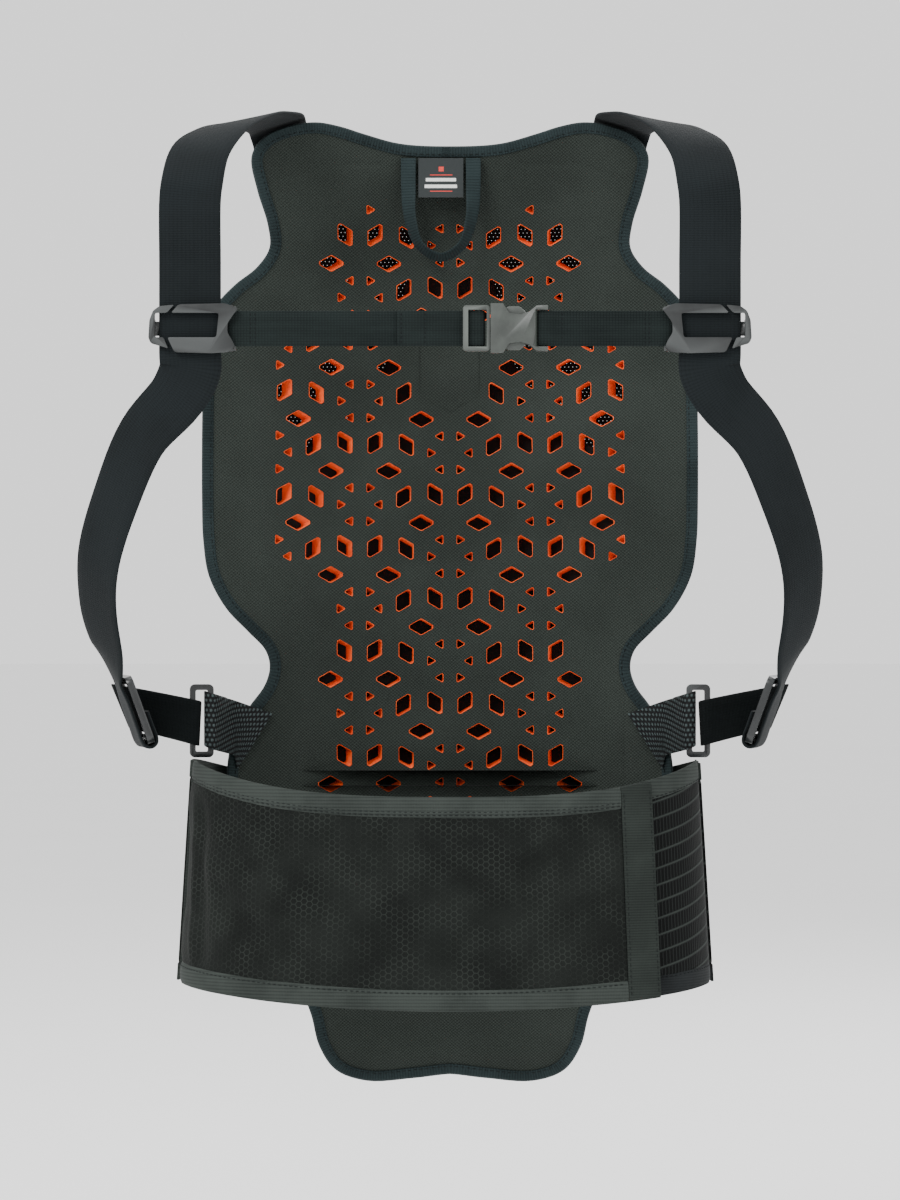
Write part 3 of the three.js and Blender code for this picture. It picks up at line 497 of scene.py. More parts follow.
    def woven(self, u, v, pitch_u, pitch_v):
        """Plain weave: each thread goes over and under the next."""
        column = self.math("FLOOR", self.math("DIVIDE", u, pitch_u))
        shift = self.math("MULTIPLY", column, math.pi)
        turn = self.math("MULTIPLY_ADD", v, math.pi / pitch_v, shift)
        over = self.math("ABSOLUTE", self.math("SINE", turn))
        round_ = self.math("SQRT", self.math("ABSOLUTE", self.math(
            "SINE", self.math("MULTIPLY", u, math.pi / pitch_u))))
        return self.math("MULTIPLY", round_, self.math("MULTIPLY_ADD", over, 0.7, 0.3))

    def ribs(self, at, pitch):
        return self.math("ABSOLUTE", self.math("SINE", self.math("MULTIPLY", at, math.pi / pitch)))

    def honeycomb(self, u, v, pitch):
        """Distance from a honeycomb's walls: 0 on the walls, 0.5 in the middle of a cell."""
        root3 = math.sqrt(3)
        x, y = self.math("DIVIDE", u, pitch), self.math("DIVIDE", v, pitch)

        def cell(px, py):
            return (self.math("SUBTRACT", self.math("FLOORED_MODULO", px, 1.0), 0.5),
                    self.math("SUBTRACT", self.math("FLOORED_MODULO", py, root3), root3 / 2))

        def square(p):
            return self.math("ADD", self.math("MULTIPLY", p[0], p[0]), self.math("MULTIPLY", p[1], p[1]))

        a = cell(x, y)
        b = cell(self.math("SUBTRACT", x, 0.5), self.math("SUBTRACT", y, root3 / 2))
        closer = self.math("LESS_THAN", square(a), square(b))
        px, py = (self.math("ABSOLUTE", self.math("ADD", b[k], self.math(
            "MULTIPLY", closer, self.math("SUBTRACT", a[k], b[k])))) for k in (0, 1))
        slanted = self.math("ADD", self.math("MULTIPLY", px, 0.5), self.math("MULTIPLY", py, root3 / 2))
        return self.math("SUBTRACT", 0.5, self.math("MAXIMUM", px, slanted))


def liner_material():
    s = Shade("spacer_mesh", roughness=0.95, specular=0.15, sheen=0.02)
    x, _, z = s.row()
    return s.painted_shade_fabric(s.knit(x, z, 2.2, 1.9), 0.32, (25, 29, 26), (50, 56, 52), 0.9, 70, 0.25)


def foam_material():
    s = Shade("orange_foam", roughness=0.6, specular=0.3)
    grain = s.noise(0.9, 4)
    s.colour(s.mix(s.clamp(s.noise(14, 3), 0.3, 0.7), (226, 74, 22), (255, 108, 48)))
    s.rough(grain, 0.5, 0.75)
    s.bump(grain, 0.12, 0.6)
    return s.mat


def cover_material():
    """The outer mesh: black, with small round holes that let the light through."""
    s = Shade("outer_mesh", roughness=0.85, specular=0.12)
    x, _, z = s.row()
    row_ = s.math("FLOOR", s.math("DIVIDE", z, 2.2))
    u = s.math("SUBTRACT", s.math("FLOORED_MODULO", s.math("MULTIPLY_ADD", row_, 1.2, x), 2.4), 1.2)
    v = s.math("SUBTRACT", s.math("FLOORED_MODULO", z, 2.2), 1.1)
    far = s.math("SQRT", s.math("ADD", s.math("MULTIPLY", u, u), s.math("MULTIPLY", v, v)))
    thread = s.clamp(far, 0.05, 0.36)
    s.colour(s.mix(s.noise(30, 3), (9, 11, 11), (20, 23, 24)))
    s.put(s.bsdf.inputs["Alpha"], thread)
    s.bump(s.clamp(far, 0.3, 0.7), 0.25, 0.8)
    return s.mat


def tape_material(name, dark, light, pitch=1.5, axis=1):
    """Grosgrain tape: fine ribs across its length."""
    s = Shade(name, roughness=0.85, specular=0.12, sheen=0.01)
    uv = s.uv()
    ribs = s.ribs(uv[axis], pitch)
    fine = s.ribs(uv[1 - axis], 0.9)
    return s.painted_shade_fabric(s.math("MULTIPLY_ADD", fine, 0.3, s.math("MULTIPLY", ribs, 0.7)), 0.16, dark, light, 0.9, 30, 0.4)


def webbing_material(name, dark, light, pitch_u=1.5, pitch_v=1.7, depth=0.22):
    s = Shade(name, roughness=0.88, specular=0.12, sheen=0.01)
    u, v = s.uv()
    edge = s.clamp(s.noise(6, 2, coords=(u, s.math("MULTIPLY", v, 0.1), 0.0)), 0.35, 0.65)
    weave = s.woven(u, v, pitch_u, pitch_v)
    return s.painted_shade_fabric(s.math("MULTIPLY_ADD", edge, 0.22, s.math("MULTIPLY", weave, 0.78)), depth, dark, light, 0.9, 45, 0.3)


def elastic_material(name, dark, light):
    """Shoulder elastic: fine ribs across it and faint lines along it."""
    s = Shade(name, roughness=0.9, specular=0.15, sheen=0.02)
    u, v = s.uv()
    ribs = s.ribs(v, 1.35)
    lines = s.math("POWER", s.ribs(u, 2.3), 0.5)
    streak = s.noise(1.6, 2, coords=(u, s.math("MULTIPLY", v, 0.02), 3.0))
    height = s.math("ADD", s.math("MULTIPLY", ribs, 0.5), s.math("MULTIPLY", lines, 0.35))
    height = s.math("MULTIPLY_ADD", streak, 0.25, height)
    return s.painted_shade_fabric(height, 0.18, dark, light, 0.8, 60, 0.3)


def honeycomb_material():
    s = Shade("honeycomb_mesh", roughness=0.9, specular=0.12, sheen=0.01)
    u, v = s.uv()
    far = s.honeycomb(v, u, 3.5)
    wall = s.math("SUBTRACT", 1.0, s.clamp(far, 0.03, 0.14))
    floor = s.knit(u, v, 0.9, 0.9)
    height = s.math("MULTIPLY_ADD", floor, 0.3, s.math("MULTIPLY", wall, 0.7))
    cloud = s.clamp(s.noise(38, 3), 0.32, 0.68)
    vary = s.clamp(s.noise(16, 4), 0.35, 0.65)
    # painted shade: the knit's dips and the cell floors are painted darker than the raised walls
    base = s.mix(floor, s.mix(cloud, (10, 12, 11), (17, 20, 18)), s.mix(cloud, (19, 22, 20), (28, 31, 29)))
    s.colour(s.mix(s.math("MULTIPLY", wall, s.math("MULTIPLY_ADD", vary, 0.42, 0.1)), base, (44, 49, 45)))
    s.bump(height, 0.3, 0.9)
    return s.mat


def lace_material():
    """Stretch lace of the right wing: tall slots between upright cords, in rows that rise outwards."""
    s = Shade("rib_lace", roughness=0.85, specular=0.12, sheen=0.01)
    u, v = s.uv()
    rise = s.math("MULTIPLY_ADD", u, -0.24, v)
    row_ = s.math("FLOOR", s.math("DIVIDE", rise, 9.4))
    slot = s.math("ABSOLUTE", s.math("SINE", s.math("MULTIPLY", s.math("MULTIPLY_ADD", row_, 1.25, u), math.pi / 2.5)))
    inrow = s.math("ABSOLUTE", s.math("SUBTRACT", s.math("FLOORED_MODULO", rise, 9.4), 4.7))
    gap = s.math("MULTIPLY", s.clamp(slot, 0.3, 0.55), s.math("SUBTRACT", 1.0, s.clamp(inrow, 3.4, 4.3)))
    bar = s.clamp(inrow, 4.0, 4.5)
    grain = s.ribs(s.math("ADD", u, v), 0.7)
    cord = s.mix(s.noise(25, 3), (17, 20, 19), (32, 36, 34))
    cord = s.mix(s.math("MULTIPLY", grain, 0.3), cord, (16, 19, 19))
    cord = s.mix(s.math("MULTIPLY", bar, 0.6), cord, (50, 55, 52))
    # painted shade: the slots between the cords are painted near black
    s.colour(s.mix(gap, cord, (5, 6, 6)))
    s.bump(s.math("SUBTRACT", 1.0, gap), 0.9, 1.0)
    return s.mat


def open_mesh_material():
    """Coarse webbing of the side tabs: slanting rows of raised knots, with painted shade making the gaps between them
    near black.
    """
    s = Shade("tab_webbing", roughness=0.75, specular=0.2, sheen=0.01)
    u, v = s.uv()
    lean = s.math("MULTIPLY_ADD", v, 0.35, u)
    column = s.math("FLOOR", s.math("DIVIDE", lean, 2.9))
    knots = s.ribs(s.math("MULTIPLY_ADD", column, 1.1, v), 2.4)
    cords = s.math("POWER", s.ribs(lean, 2.9), 0.8)
    height = s.math("MULTIPLY", cords, s.math("MULTIPLY_ADD", knots, 0.8, 0.2))
    return s.painted_shade_fabric(s.clamp(height, 0.3, 0.95), 1.0, (1, 1, 2), (62, 72, 72), 1.0, 30, 0.04)


def plastic_material(name, dark, light, low, high, grain=0.5, specular=0.5):
    """Moulded plastic: fine grain, painted highlights that lighten the proud edges, and small scuffs."""
    s = Shade(name, specular=specular)
    fine = s.noise(grain, 3)
    cloud = s.clamp(s.noise(9, 4), 0.35, 0.7)
    scuff = s.clamp(s.noise(2.2, 5, 0.7), 0.6, 0.72)
    # painted highlight: edges that stand proud, found by pointiness, are painted lighter
    proud = s.clamp(s.node("NewGeometry").outputs["Pointiness"], 0.5, 0.62)
    scuffs_and_edge_highlight = s.math("MAXIMUM", s.math("MULTIPLY", scuff, 0.35), proud)
    s.colour(s.mix(scuffs_and_edge_highlight, s.mix(cloud, dark, light), tuple(min(255, c + 30) for c in light)))
    s.rough(s.math("MULTIPLY_ADD", cloud, 0.5, s.math("MULTIPLY", fine, 0.5)), low, high)
    s.bump(fine, 0.03, 0.5)
    return s.mat


def pile_material():
    s = Shade("hook_and_loop", roughness=0.95, sheen=0.3)
    fuzz = s.noise(0.8, 4, 0.7)
    s.colour(s.mix(s.clamp(fuzz, 0.3, 0.7), (10, 11, 11), (44, 47, 47)))
    s.bump(fuzz, 0.6, 1.0)
    return s.mat


def thread_material(name, dark, light):
    s = Shade(name, roughness=0.85, specular=0.2)
    s.colour(s.mix(s.noise(3, 2), dark, light))
    s.bump(s.noise(0.4, 2), 0.05, 0.5)
    return s.mat


LINER_CLOTH = liner_material()
FOAM = foam_material()
OUTER_MESH = cover_material()
BINDING_TAPE = tape_material("binding_tape", (16, 23, 24), (38, 48, 49), 1.7)
BELT_TAPE = tape_material("belt_tape", (28, 32, 30), (52, 57, 54), 1.9)
END_TAPE = tape_material("end_tape", (21, 25, 23), (40, 45, 42), 1.5)
DARK_TAPE = tape_material("dark_tape", (14, 16, 17), (32, 35, 36), 1.5)
STRAP_WEB = elastic_material("strap_elastic", (4, 7, 8), (21, 26, 28))
CHEST_WEB = webbing_material("chest_webbing", (8, 13, 13), (27, 34, 33))
LOOP_WEB = webbing_material("loop_webbing", (1, 3, 3), (8, 13, 14), 1.6, 1.9)
HONEYCOMB = honeycomb_material()
LACE = lace_material()
TAB_WEB = open_mesh_material()
GLOSS = plastic_material("gloss_plastic", (14, 16, 17), (25, 28, 28), 0.26, 0.4)
RING_GLOSS = plastic_material("ring_plastic", (8, 10, 11), (20, 23, 24), 0.2, 0.34)
SATIN = plastic_material("satin_plastic", (37, 41, 38), (50, 55, 51), 0.38, 0.52)
PILE = pile_material()
THREAD = thread_material("thread", (9, 12, 12), (26, 31, 30))
DARK_THREAD = thread_material("dark_thread", (5, 7, 8), (16, 20, 21))


# ------------------------------------------------------------------ back panel

def in_field(x, z, top, top_half=72):
    half = top_half if z > 224 else 106 if z > 78 else 74
    return -150 < z < top and abs(x) < half and math.hypot(x, z - PLAIN_SPOT[0]) >= PLAIN_SPOT[1]


def perforations(shrink):
    """The holes' outlines: rhombi in pairs and small triangles round each star."""
    found = []
    side_length = RHOMB_SIDE - 2.3 * shrink
    for column in range(-3, 4):
        for row in range(12):
            sx = column * LATTICE * math.sqrt(3) / 2
            sz = LATTICE_Z + (3 - row + (0.5 if column % 2 else 0)) * LATTICE
            for turn in range(3):
                angle = turn * 2 * math.pi / 3 - math.pi / 2
                ox, oz = math.cos(angle), math.sin(angle)
                for side in (-1, 1):
                    x = sx + ox * RHOMB_PAIR[0] - oz * side * RHOMB_PAIR[1]
                    z = sz + oz * RHOMB_PAIR[0] + ox * side * RHOMB_PAIR[1]
                    if not in_field(x, z, 292):
                        continue
                    lean = angle + side * 2 * math.pi / 3
                    h = side_length / 2
                    corners = [(x + h * (p * math.cos(angle) + q * math.cos(lean)),
                                z + h * (p * math.sin(angle) + q * math.sin(lean)))
                               for p, q in ((-1, -1), (1, -1), (1, 1), (-1, 1))]
                    found.append(rounded(corners, 1.5, 3))
            for k in range(6):
                turn = k * math.pi / 3
                x, z = sx + TRIANGLE[0] * math.cos(turn), sz + TRIANGLE[0] * math.sin(turn)
                if not in_field(x, z, 299, 56 if z > 290 else 72):
                    continue
                reach = TRIANGLE[1] / math.sqrt(3) - 1.5 * shrink
                corners = [(x + reach * math.cos(turn + math.pi + j * 2 * math.pi / 3),
                            z + reach * math.sin(turn + math.pi + j * 2 * math.pi / 3)) for j in range(3)]
                found.append(rounded(corners, 0.7, 2))
    return found


def far_from(line, points):
    """Distance from each point to a line of points."""
    best = np.full(len(points), 1e9)
    for a, b in zip(line[:-1], line[1:]):
        a, b = np.array(a, float), np.array(b, float)
        t = np.clip(((points - a) @ (b - a)) / ((b - a) @ (b - a)), 0, 1)
        best = np.minimum(best, np.linalg.norm(points - a - t[:, None] * (b - a), axis=1))
    return best


def beside(line, gap):
    """A line moved sideways, with mitred corners."""
    line = np.array(line, float)
    ahead = np.gradient(line, axis=0)
    ahead /= np.linalg.norm(ahead, axis=1, keepdims=True)
    return line + np.stack([-ahead[:, 1], ahead[:, 0]], 1) * gap


# A plain six-sided mark pressed into the liner, and the foam pocket's edges showing through it.
MARK = [(0, 172.5), (18, 183), (18, 224), (0, 234.5), (-18, 224), (-18, 183), (0, 172.5)]
POCKET = [
    [(-104, 28), (-104.5, -60), (-103, -140)],
    [(104, 28), (104.5, -60), (103, -140)],
    [(-112, 309), (-76, 322), (-42, 322)],
    [(112, 309), (76, 322), (42, 322)],
]


def liner_relief(points):
    mark = far_from(MARK, points)
    lift = 0.6 * np.clip(1.25 - mark, 0, 1)
    for line in POCKET:
        lift += 0.5 * np.clip(1.35 - far_from(line, points), 0, 1)
    return lift


creases = [beside(MARK, 0), beside(MARK, 1.25), beside(MARK, -1.25)]
for line in POCKET:
    dense = np.array([np.interp(np.linspace(0, 1, 20), np.linspace(0, 1, len(line)), [p[k] for p in line])
                      for k in (0, 1)]).T
    creases += [dense, beside(dense, 1.35), beside(dense, -1.35)]



cut = outline(1.5)
verts, faces = plate(cut, perforations(0), 4.5, *LINER, lift=liner_relief, creases=creases)
liner = piece("liner", verts, faces, LINER_CLOTH, "back_panel", "liner_panel", sharp=50)
verts, faces = plate(cut, perforations(0.3), 7, *CORE, square=True)
core = piece("foam_core", verts, faces, FOAM, "back_panel", "core_foam")
verts, faces = plate(cut, [], 7, *COVER)
cover = piece("cover", verts, faces, OUTER_MESH, "back_panel", "outer_cover")

# the bead of foam that stands round each hole
rim_verts, rim_faces = [], []
for hole in perforations(0.1):
    centre = hole.mean(0)
    y = panel_y(hole[:, 0], hole[:, 1])
    inner = hole + (centre - hole) / np.linalg.norm(centre - hole, axis=1, keepdims=True) * 0.45
    rings = []
    for t, depth in ((0, 0.5), (0.25, 0.2), (0.75, 0.25), (1, 0.9), (0.5, 1.1)):
        at = hole * (1 - t) + inner * t
        rings.append(np.stack([at[:, 0], y + depth, at[:, 1]], 1))
    base, k, n = len(rim_verts), len(hole), 5
    for j in range(k):
        rim_verts += [rings[i][j] for i in range(n)]
    for j in range(k):
        for i in range(n):
            a, b = j * n, (j + 1) % k * n
            rim_faces.append((base + a + i, base + b + i, base + b + (i + 1) % n, base + a + (i + 1) % n))
piece("foam_rims", rim_verts, rim_faces, FOAM, "back_panel")

# edge binding: a folded tape round the panel's edge
edge = outline(0, 6)
inward = []
for i in range(len(edge)):
    d = edge[(i + 1) % len(edge)] - edge[i - 1]
    n = np.array([d[1], -d[0]]) / np.linalg.norm(d)
    inward.append(n)
inward = np.array(inward)
if not inside((edge + inward * 3)[40:41], edge)[0]:
    inward = -inward
profile = [(BINDING_WIDTH, -0.15), (BINDING_WIDTH - 0.2, -0.85), (BINDING_WIDTH - 0.9, -1.0), (4.2, -0.8), (2.4, -0.9),
           (1.1, -0.5), (0.3, 0.9), (-0.1, 3.4), (-0.2, 6), (-0.1, 8.6), (0.3, 11), (1.1, 12.3), (2.4, 12.7),
           (4.2, 12.6), (BINDING_WIDTH - 0.9, 12.8), (BINDING_WIDTH - 0.2, 12.65), (BINDING_WIDTH, 12.0),
           (2.6, 12.0), (1.4, 11.2), (1.0, 9), (1.0, 3), (1.4, 0.6), (2.6, -0.15)]
along = np.concatenate([[0], np.cumsum(np.linalg.norm(np.diff(edge, axis=0), axis=1))])
rings, across_mm = [], np.concatenate([[0], np.cumsum([math.dist(a, b) for a, b in zip(profile[:-1], profile[1:])])])
pucker = [0.22 * noise.noise(Vector((s * 0.16, 0, 1.7))) for s in along]
for i, (p, n) in enumerate(zip(edge, inward)):
    ring = []
    for inset, depth in profile:
        q = p + n * inset
        swell = pucker[i] if 0.5 < inset < BINDING_WIDTH - 0.3 and (depth < 0 or depth > 12.3) else 0
        ring.append((q[0], panel_y(q[0], q[1]) + depth - (swell if depth < 0 else -swell), q[1]))
    rings.append(ring)
verts, faces, uv = tube(rings, across_mm, along, closed=True)
piece("binding", verts, faces, BINDING_TAPE, "back_panel", "edge_binding", uv)

thread = Thread()
for depth, facing in ((-1.12, -1), (12.92, 1)):
    loop = edge + inward * (BINDING_WIDTH - 1.5)
    loop = np.concatenate([loop, loop[:1]])
    line = np.stack([loop[:, 0], panel_y(loop[:, 0], loop[:, 1]) + depth, loop[:, 1]], 1)
    thread.line(line, np.tile([0, facing, 0], (len(line), 1)), pitch=3.6, length=2.5, radius=0.22)

# outer side: a smooth overlay down the spine, and the belt's back section
overlay_outline = rounded([(-20, 262), (-36, 205), (-57, 166), (-58, 90), (-40, 40), (-52, -28), (52, -28), (40, 40),
                           (58, 90), (57, 166), (36, 205), (20, 262)], 9, 5)
OVERLAY_CLOTH = webbing_material("overlay_cloth", (20, 25, 27), (42, 49, 51), 1.2, 1.2, 0.1)


def flat_uv(verts):
    return [(v[0], v[2]) for v in verts]


def overlay_relief(points):
    """Two shallow channels down the overlay."""
    lift = np.zeros(len(points))
    for side in (-1, 1):
        lift += 0.7 * np.exp(-((points[:, 0] - side * (22 + 0.05 * (points[:, 1] - 130))) / 1.6) ** 2)
    return -lift


verts, faces = plate(overlay_outline, [], 3.2, *OVERLAY)
verts = np.array(verts)
back_half = np.arange(len(verts)) >= len(verts) // 2
groove = -overlay_relief(verts[:, [0, 2]])
verts[back_half, 1] -= groove[back_half]
overlay = piece("overlay", verts, faces, OVERLAY_CLOTH, "back_panel", "spine_overlay", flat_uv(verts))
loop = overlay_outline * 0.96 + np.array([0, 5.2])
line = np.stack([loop[:, 0], panel_y(loop[:, 0], loop[:, 1]) + 14.4, loop[:, 1]], 1)
thread.line(np.concatenate([line, line[:1]]), np.tile([0, 1, 0], (len(line) + 1, 1)))


def belt_top(x):
    return -51 + 18 * np.abs(x / 153) ** 3


def belt_bottom(x):
    return -172 + 11 * (x / 153) ** 2


low, high = belt_bottom(BELT_BACK_HALF), belt_top(BELT_BACK_HALF)
h = BELT_BACK_HALF
for name, z0, z1, cloth, slot_name in (
        ("belt_back_mesh", low + 9.2, high - 9.2, HONEYCOMB, "belt_mesh"), ("belt_back_top", high - 9, high, BELT_TAPE, "belt_mesh"),
        ("belt_back_bottom", low, low + 9, BELT_TAPE, "belt_mesh")):
    verts, faces = plate(rounded([(-h, z0), (h, z0), (h, z1), (-h, z1)], 0.6, 2), [], 5, *BELT_BACK)
    made = piece(name, verts, faces, cloth, "back_panel", uv=[(v[2], v[0]) for v in verts])
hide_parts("belt_back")
for z in (low + 7.6, high - 7.6):
    xs = np.linspace(-h + 2, h - 2, 60)
    line = np.stack([xs, panel_y(xs, z) + BELT_BACK[1] + 0.1, np.full(60, z)], 1)
    thread.line(line, np.tile([0, 1, 0], (60, 1)))
thread.done("panel_thread", THREAD, "back_panel")


# ------------------------------------------------------------------ shoulder straps and side links

STRAP_END = np.array([177.0, -76.0, -21.0])
RING_ACROSS, RING_OUT, RING_LEAN = np.array([0.2, 0.98]), np.array([0.98, -0.2]), 0.349
CURL = 0.71 * 4 + 0.5 + STRAP_THICK / 2
SIDE_RING = (146, -52.2, -11)
SIDE_RING_TURN = -0.13
OUTER_BAR = (SIDE_RING[0] + 5.3 * math.cos(SIDE_RING_TURN), SIDE_RING[1] + 5.3 * math.sin(SIDE_RING_TURN))
INNER_BAR = (SIDE_RING[0] - 5.3 * math.cos(SIDE_RING_TURN), SIDE_RING[1] - 5.3 * math.sin(SIDE_RING_TURN))


def ring_way(out, up):
    """A direction beside the strap's end ring, which leans outwards."""
    flat = out * math.cos(RING_LEAN) + up * math.sin(RING_LEAN)
    return np.array([*(RING_OUT * flat), up * math.cos(RING_LEAN) - out * math.sin(RING_LEAN)])


def beside_ring(out, up):
    return STRAP_END + ring_way(out, up)


REAR_POST = beside_ring(0, (SIDE_RING[2] - STRAP_END[2]) / math.cos(RING_LEAN))[:2] + 27 * RING_ACROSS


def strap_stations():
    y = [float(panel_y(x, z)) for x, z in ((91, 288), (94.5, 308), (99.5, 325))]
    curl = []
    for degrees in (0, 45, 90, 135, 180):
        out, up = math.cos(math.radians(degrees)), -math.sin(math.radians(degrees))
        curl.append((beside_ring(CURL * out, CURL * up), ring_way(out, up)))
    return [
        ((91, y[0] + 14.9, 288), (0.32, 0.94, 0.1)), ((94.5, y[1] + 14.9, 308), (0.34, 0.93, 0.2)),
        ((99.5, y[2] + 15.4, 325), (0.36, 0.88, 0.3)), ((101.5, 7.2, 334.5), (0.36, 0.75, 0.5)),
        ((102.6, 4.2, 340.4), (0.34, 0.5, 0.75)), ((103.4, -3, 343.6), (0.3, 0.15, 0.94)),
        ((104, -18, 344), (0.3, 0, 0.95)), ((108, -40, 343), (0.28, -0.1, 0.95)),
        ((117.5, -74, 340), (0.26, -0.28, 0.92)), ((131.5, -108, 330.5), (0.22, -0.5, 0.84)),
        ((142.5, -135, 314.5), (0.12, -0.84, 0.5)), ((146, -148.5, 296), (0.02, -0.99, 0.1)),
        ((STRAP_X, STRAP_Y, 286), (0, -1, 0)), ((STRAP_X, STRAP_Y, 250), (0, -1, 0)),
        ((STRAP_X, STRAP_Y, 215), (0, -1, 0)), ((STRAP_X, STRAP_Y, 200), (0, -1, 0)),
        ((STRAP_X, STRAP_Y, 190), (0, -1, 0)), ((154, -148.4, 176), (0.26, -0.96, 0.05)),
        ((174.5, -141, 153), (0.46, -0.87, 0.12)), ((190.5, -129, 118), (0.56, -0.82, 0.1)),
        ((202, -114, 82), (0.64, -0.77, 0.05)), ((203, -99, 54), (0.72, -0.69, -0.02)),
        ((199, -88.5, 32), (0.82, -0.55, -0.15)), ((194.6, -80.5, 16), ring_way(1, 0)),
        (beside_ring(CURL, 23), ring_way(1, 0)), (beside_ring(CURL, 9), ring_way(1, 0)), *curl,
        (beside_ring(-CURL, 8), ring_way(-1, 0)), (beside_ring(-CURL, 16), ring_way(-1, 0))]


def flip(points, mirror):
    return np.asarray(points, float) * [mirror, 1, 1]


def side_loop_line():
    """A closed racetrack round the side ring's outer bar and the strap ring's rear post."""
    a, b = np.array(OUTER_BAR), np.array(REAR_POST)
    heading = math.atan2(b[1] - a[1], b[0] - a[0])
    side = 4.05 * np.array([-math.sin(heading), math.cos(heading)])
    points = []
    for post, other, start in ((b, a, heading - math.pi / 2), (a, b, heading + math.pi / 2)):
        points += [post + 4.05 * np.array([math.cos(t), math.sin(t)]) for t in start + np.linspace(0, math.pi, 9)]
        side_now = side if post is b else -side
        points += [post + side_now + (other - post) * k / 9 for k in range(1, 9)]
    return np.array(points)


def tab_line():
    bx, by = INNER_BAR
    on_liner = [(x, float(panel_y(x, -10)) - 2.2) for x in (106, 113, 120, 127)]
    around = [(bx + 3.5 * math.cos(math.radians(d)), by + 3.5 * math.sin(math.radians(d)))
              for d in (215, 260, 305, 350, 35)]
    return soften(on_liner + [(130.5, -35)] + around + [(134.8, -36.4), (132.6, -32.6)], 2)


def tab_shape(verts):
    """The tab's inner end is cut on the slant and lies along the liner."""
    verts = np.array(verts)
    x, z = verts[:, 0].copy(), verts[:, 2]
    near = np.clip((128 - x) / 22, 0, 1)
    off = verts[:, 1] - panel_y(x, -10)
    middle = SIDE_RING[2] + 0.37 * (x - INNER_BAR[0])
    verts[:, 0] = x + near * 0.62 * (middle + 16.3 - z)
    on_panel = np.clip((130 - x) / 4, 0, 1)
    verts[:, 1] += on_panel * (panel_y(verts[:, 0], z) + off - verts[:, 1])
    return verts


for side, mirror in (("right", 1), ("left", -1)):
    body = "back_panel"
    stations = [(flip(p, mirror), flip(f, mirror)) for p, f in strap_stations()]
    (verts, faces, uv), at, across, out, along = ribbon(stations, STRAP_WIDTH, STRAP_THICK, 190, 0.3, mirror)
    made = piece(f"strap_{side}", verts, faces, STRAP_WEB, body, f"shoulder_strap_{side}", uv)
    strap_thread = Thread()
    for offset in (-13.5, 13.5):
        pick = slice(2, 24)
        strap_thread.line((at + across * offset + out * 0.95)[pick], out[pick])
    for i in (3, 12):
        ends = np.array([at[i] + across[i] * a + out[i] * 0.95 for a in np.linspace(-14, 14, 12)])
        strap_thread.line(ends, np.tile(out[i], (12, 1)))
    for a0, a1 in ((-12, 12), (12, -12)):
        cross = np.array([at[3 + k] + across[3 + k] * (a0 + (a1 - a0) * k / 9) + out[3 + k] * 0.95 for k in range(10)])
        strap_thread.line(cross, out[3:13])
    strap_thread.done(f"strap_thread_{side}", DARK_THREAD, body)

    verts, faces, uv = folded_web(side_loop_line(), 1.5, -24.8, 1.6, (0.234, OUTER_BAR[0]), closed=True)
    far = (verts[:, 0] - OUTER_BAR[0]) / (REAR_POST[0] - OUTER_BAR[0])
    rise = (verts[:, 2] - SIDE_RING[2]) / ring_way(0, 1)[2] * far
    verts[:, :2] += rise[:, None] * ring_way(0, 1)[:2]
    made = piece(f"link_{side}", flip(verts, mirror), faces, LOOP_WEB, body, f"side_loop_{side}", uv)
    round_ = side_loop_line()
    verts, faces, uv = folded_web(tab_line(), 1.3, SIDE_RING[2] - 16.3, SIDE_RING[2] + 16.3, (0.37, INNER_BAR[0]))
    made = piece(f"tab_{side}", flip(tab_shape(verts), mirror), faces, TAB_WEB, body, f"mesh_tab_{side}", uv)

# ------------------------------------------------------------------ chest strap

BUCKLE_LEFT, BUCKLE_MOUTH, BUCKLE_END = 7.3, 22.9, 55.3
BAR_X = STRAP_X - STRAP_WIDTH / 2 - 0.6 - 6.3
y = CHEST_Y
right_line = [(78, y + 1.65), (61, y + 1.65), (56.5, y + 2.3), (51.6, y + 2.3), (49.9, y + 1.3), (49.9, y - 1.3),
              (51.6, y - 2.3), (56.5, y - 2.3), (61, y), (70, y), (90, y), (105, y), (BAR_X + 2.2, y),
              (BAR_X + 3.2, y + 1.2), (BAR_X + 3.2, y + 3.3), (BAR_X + 2.2, y + 4.5), (BAR_X - 2, y + 4.5),
              (BAR_X - 8, y + 1.75), (BAR_X - 20, y + 1.65)]
x = -BAR_X
left_line = [(-30, y - 1.65), (-20, y - 1.65), (-10, y - 1.65), (2, y - 1.65), (5.4, y - 0.95), (8.8, y - 0.75),
             (11.6, y - 1.1), (14, y - 1.85), (17.2, y - 1.85), (18.9, y - 1.1), (19.2, y), (18.9, y + 1.1),
             (17.2, y + 1.85), (14, y + 1.85), (11.6, y + 1.4), (8.8, y + 0.95), (5.4, y + 0.7), (2, y), (-10, y),
             (-40, y), (-70, y), (-100, y), (x - 2.2, y), (x - 3.2, y + 1.2), (x - 3.2, y + 3.3), (x - 2.2, y + 4.5),
             (x + 2, y + 4.5), (x + 8, y + 1.75), (x + 20, y + 1.65)]
chest_thread = Thread()
for side, line in (("right", right_line), ("left", left_line)):
    verts, faces, uv = folded_web(soften(line, 2), 1.3, CHEST_Z - 10, CHEST_Z + 10)
    made = piece(f"chest_webbing_{side}", verts, faces, CHEST_WEB, "chest_strap", f"chest_web_{side}", uv)
for x, depth in ((112.8, 0.7), (110.2, 0.7), (-112.8, 0.7), (-110.2, 0.7), (-14.2, 2.4), (-27.6, 2.4), (63.4, 0.7)):
    zs = np.linspace(CHEST_Z - 9, CHEST_Z + 9, 8)
    line = np.stack([np.full(8, x), np.full(8, CHEST_Y - depth), zs], 1)
    chest_thread.line(line, np.tile([0, -1, 0], (8, 1)), pitch=2.6, length=1.9, radius=0.24)
chest_thread.done("chest_thread", DARK_THREAD, "chest_strap")


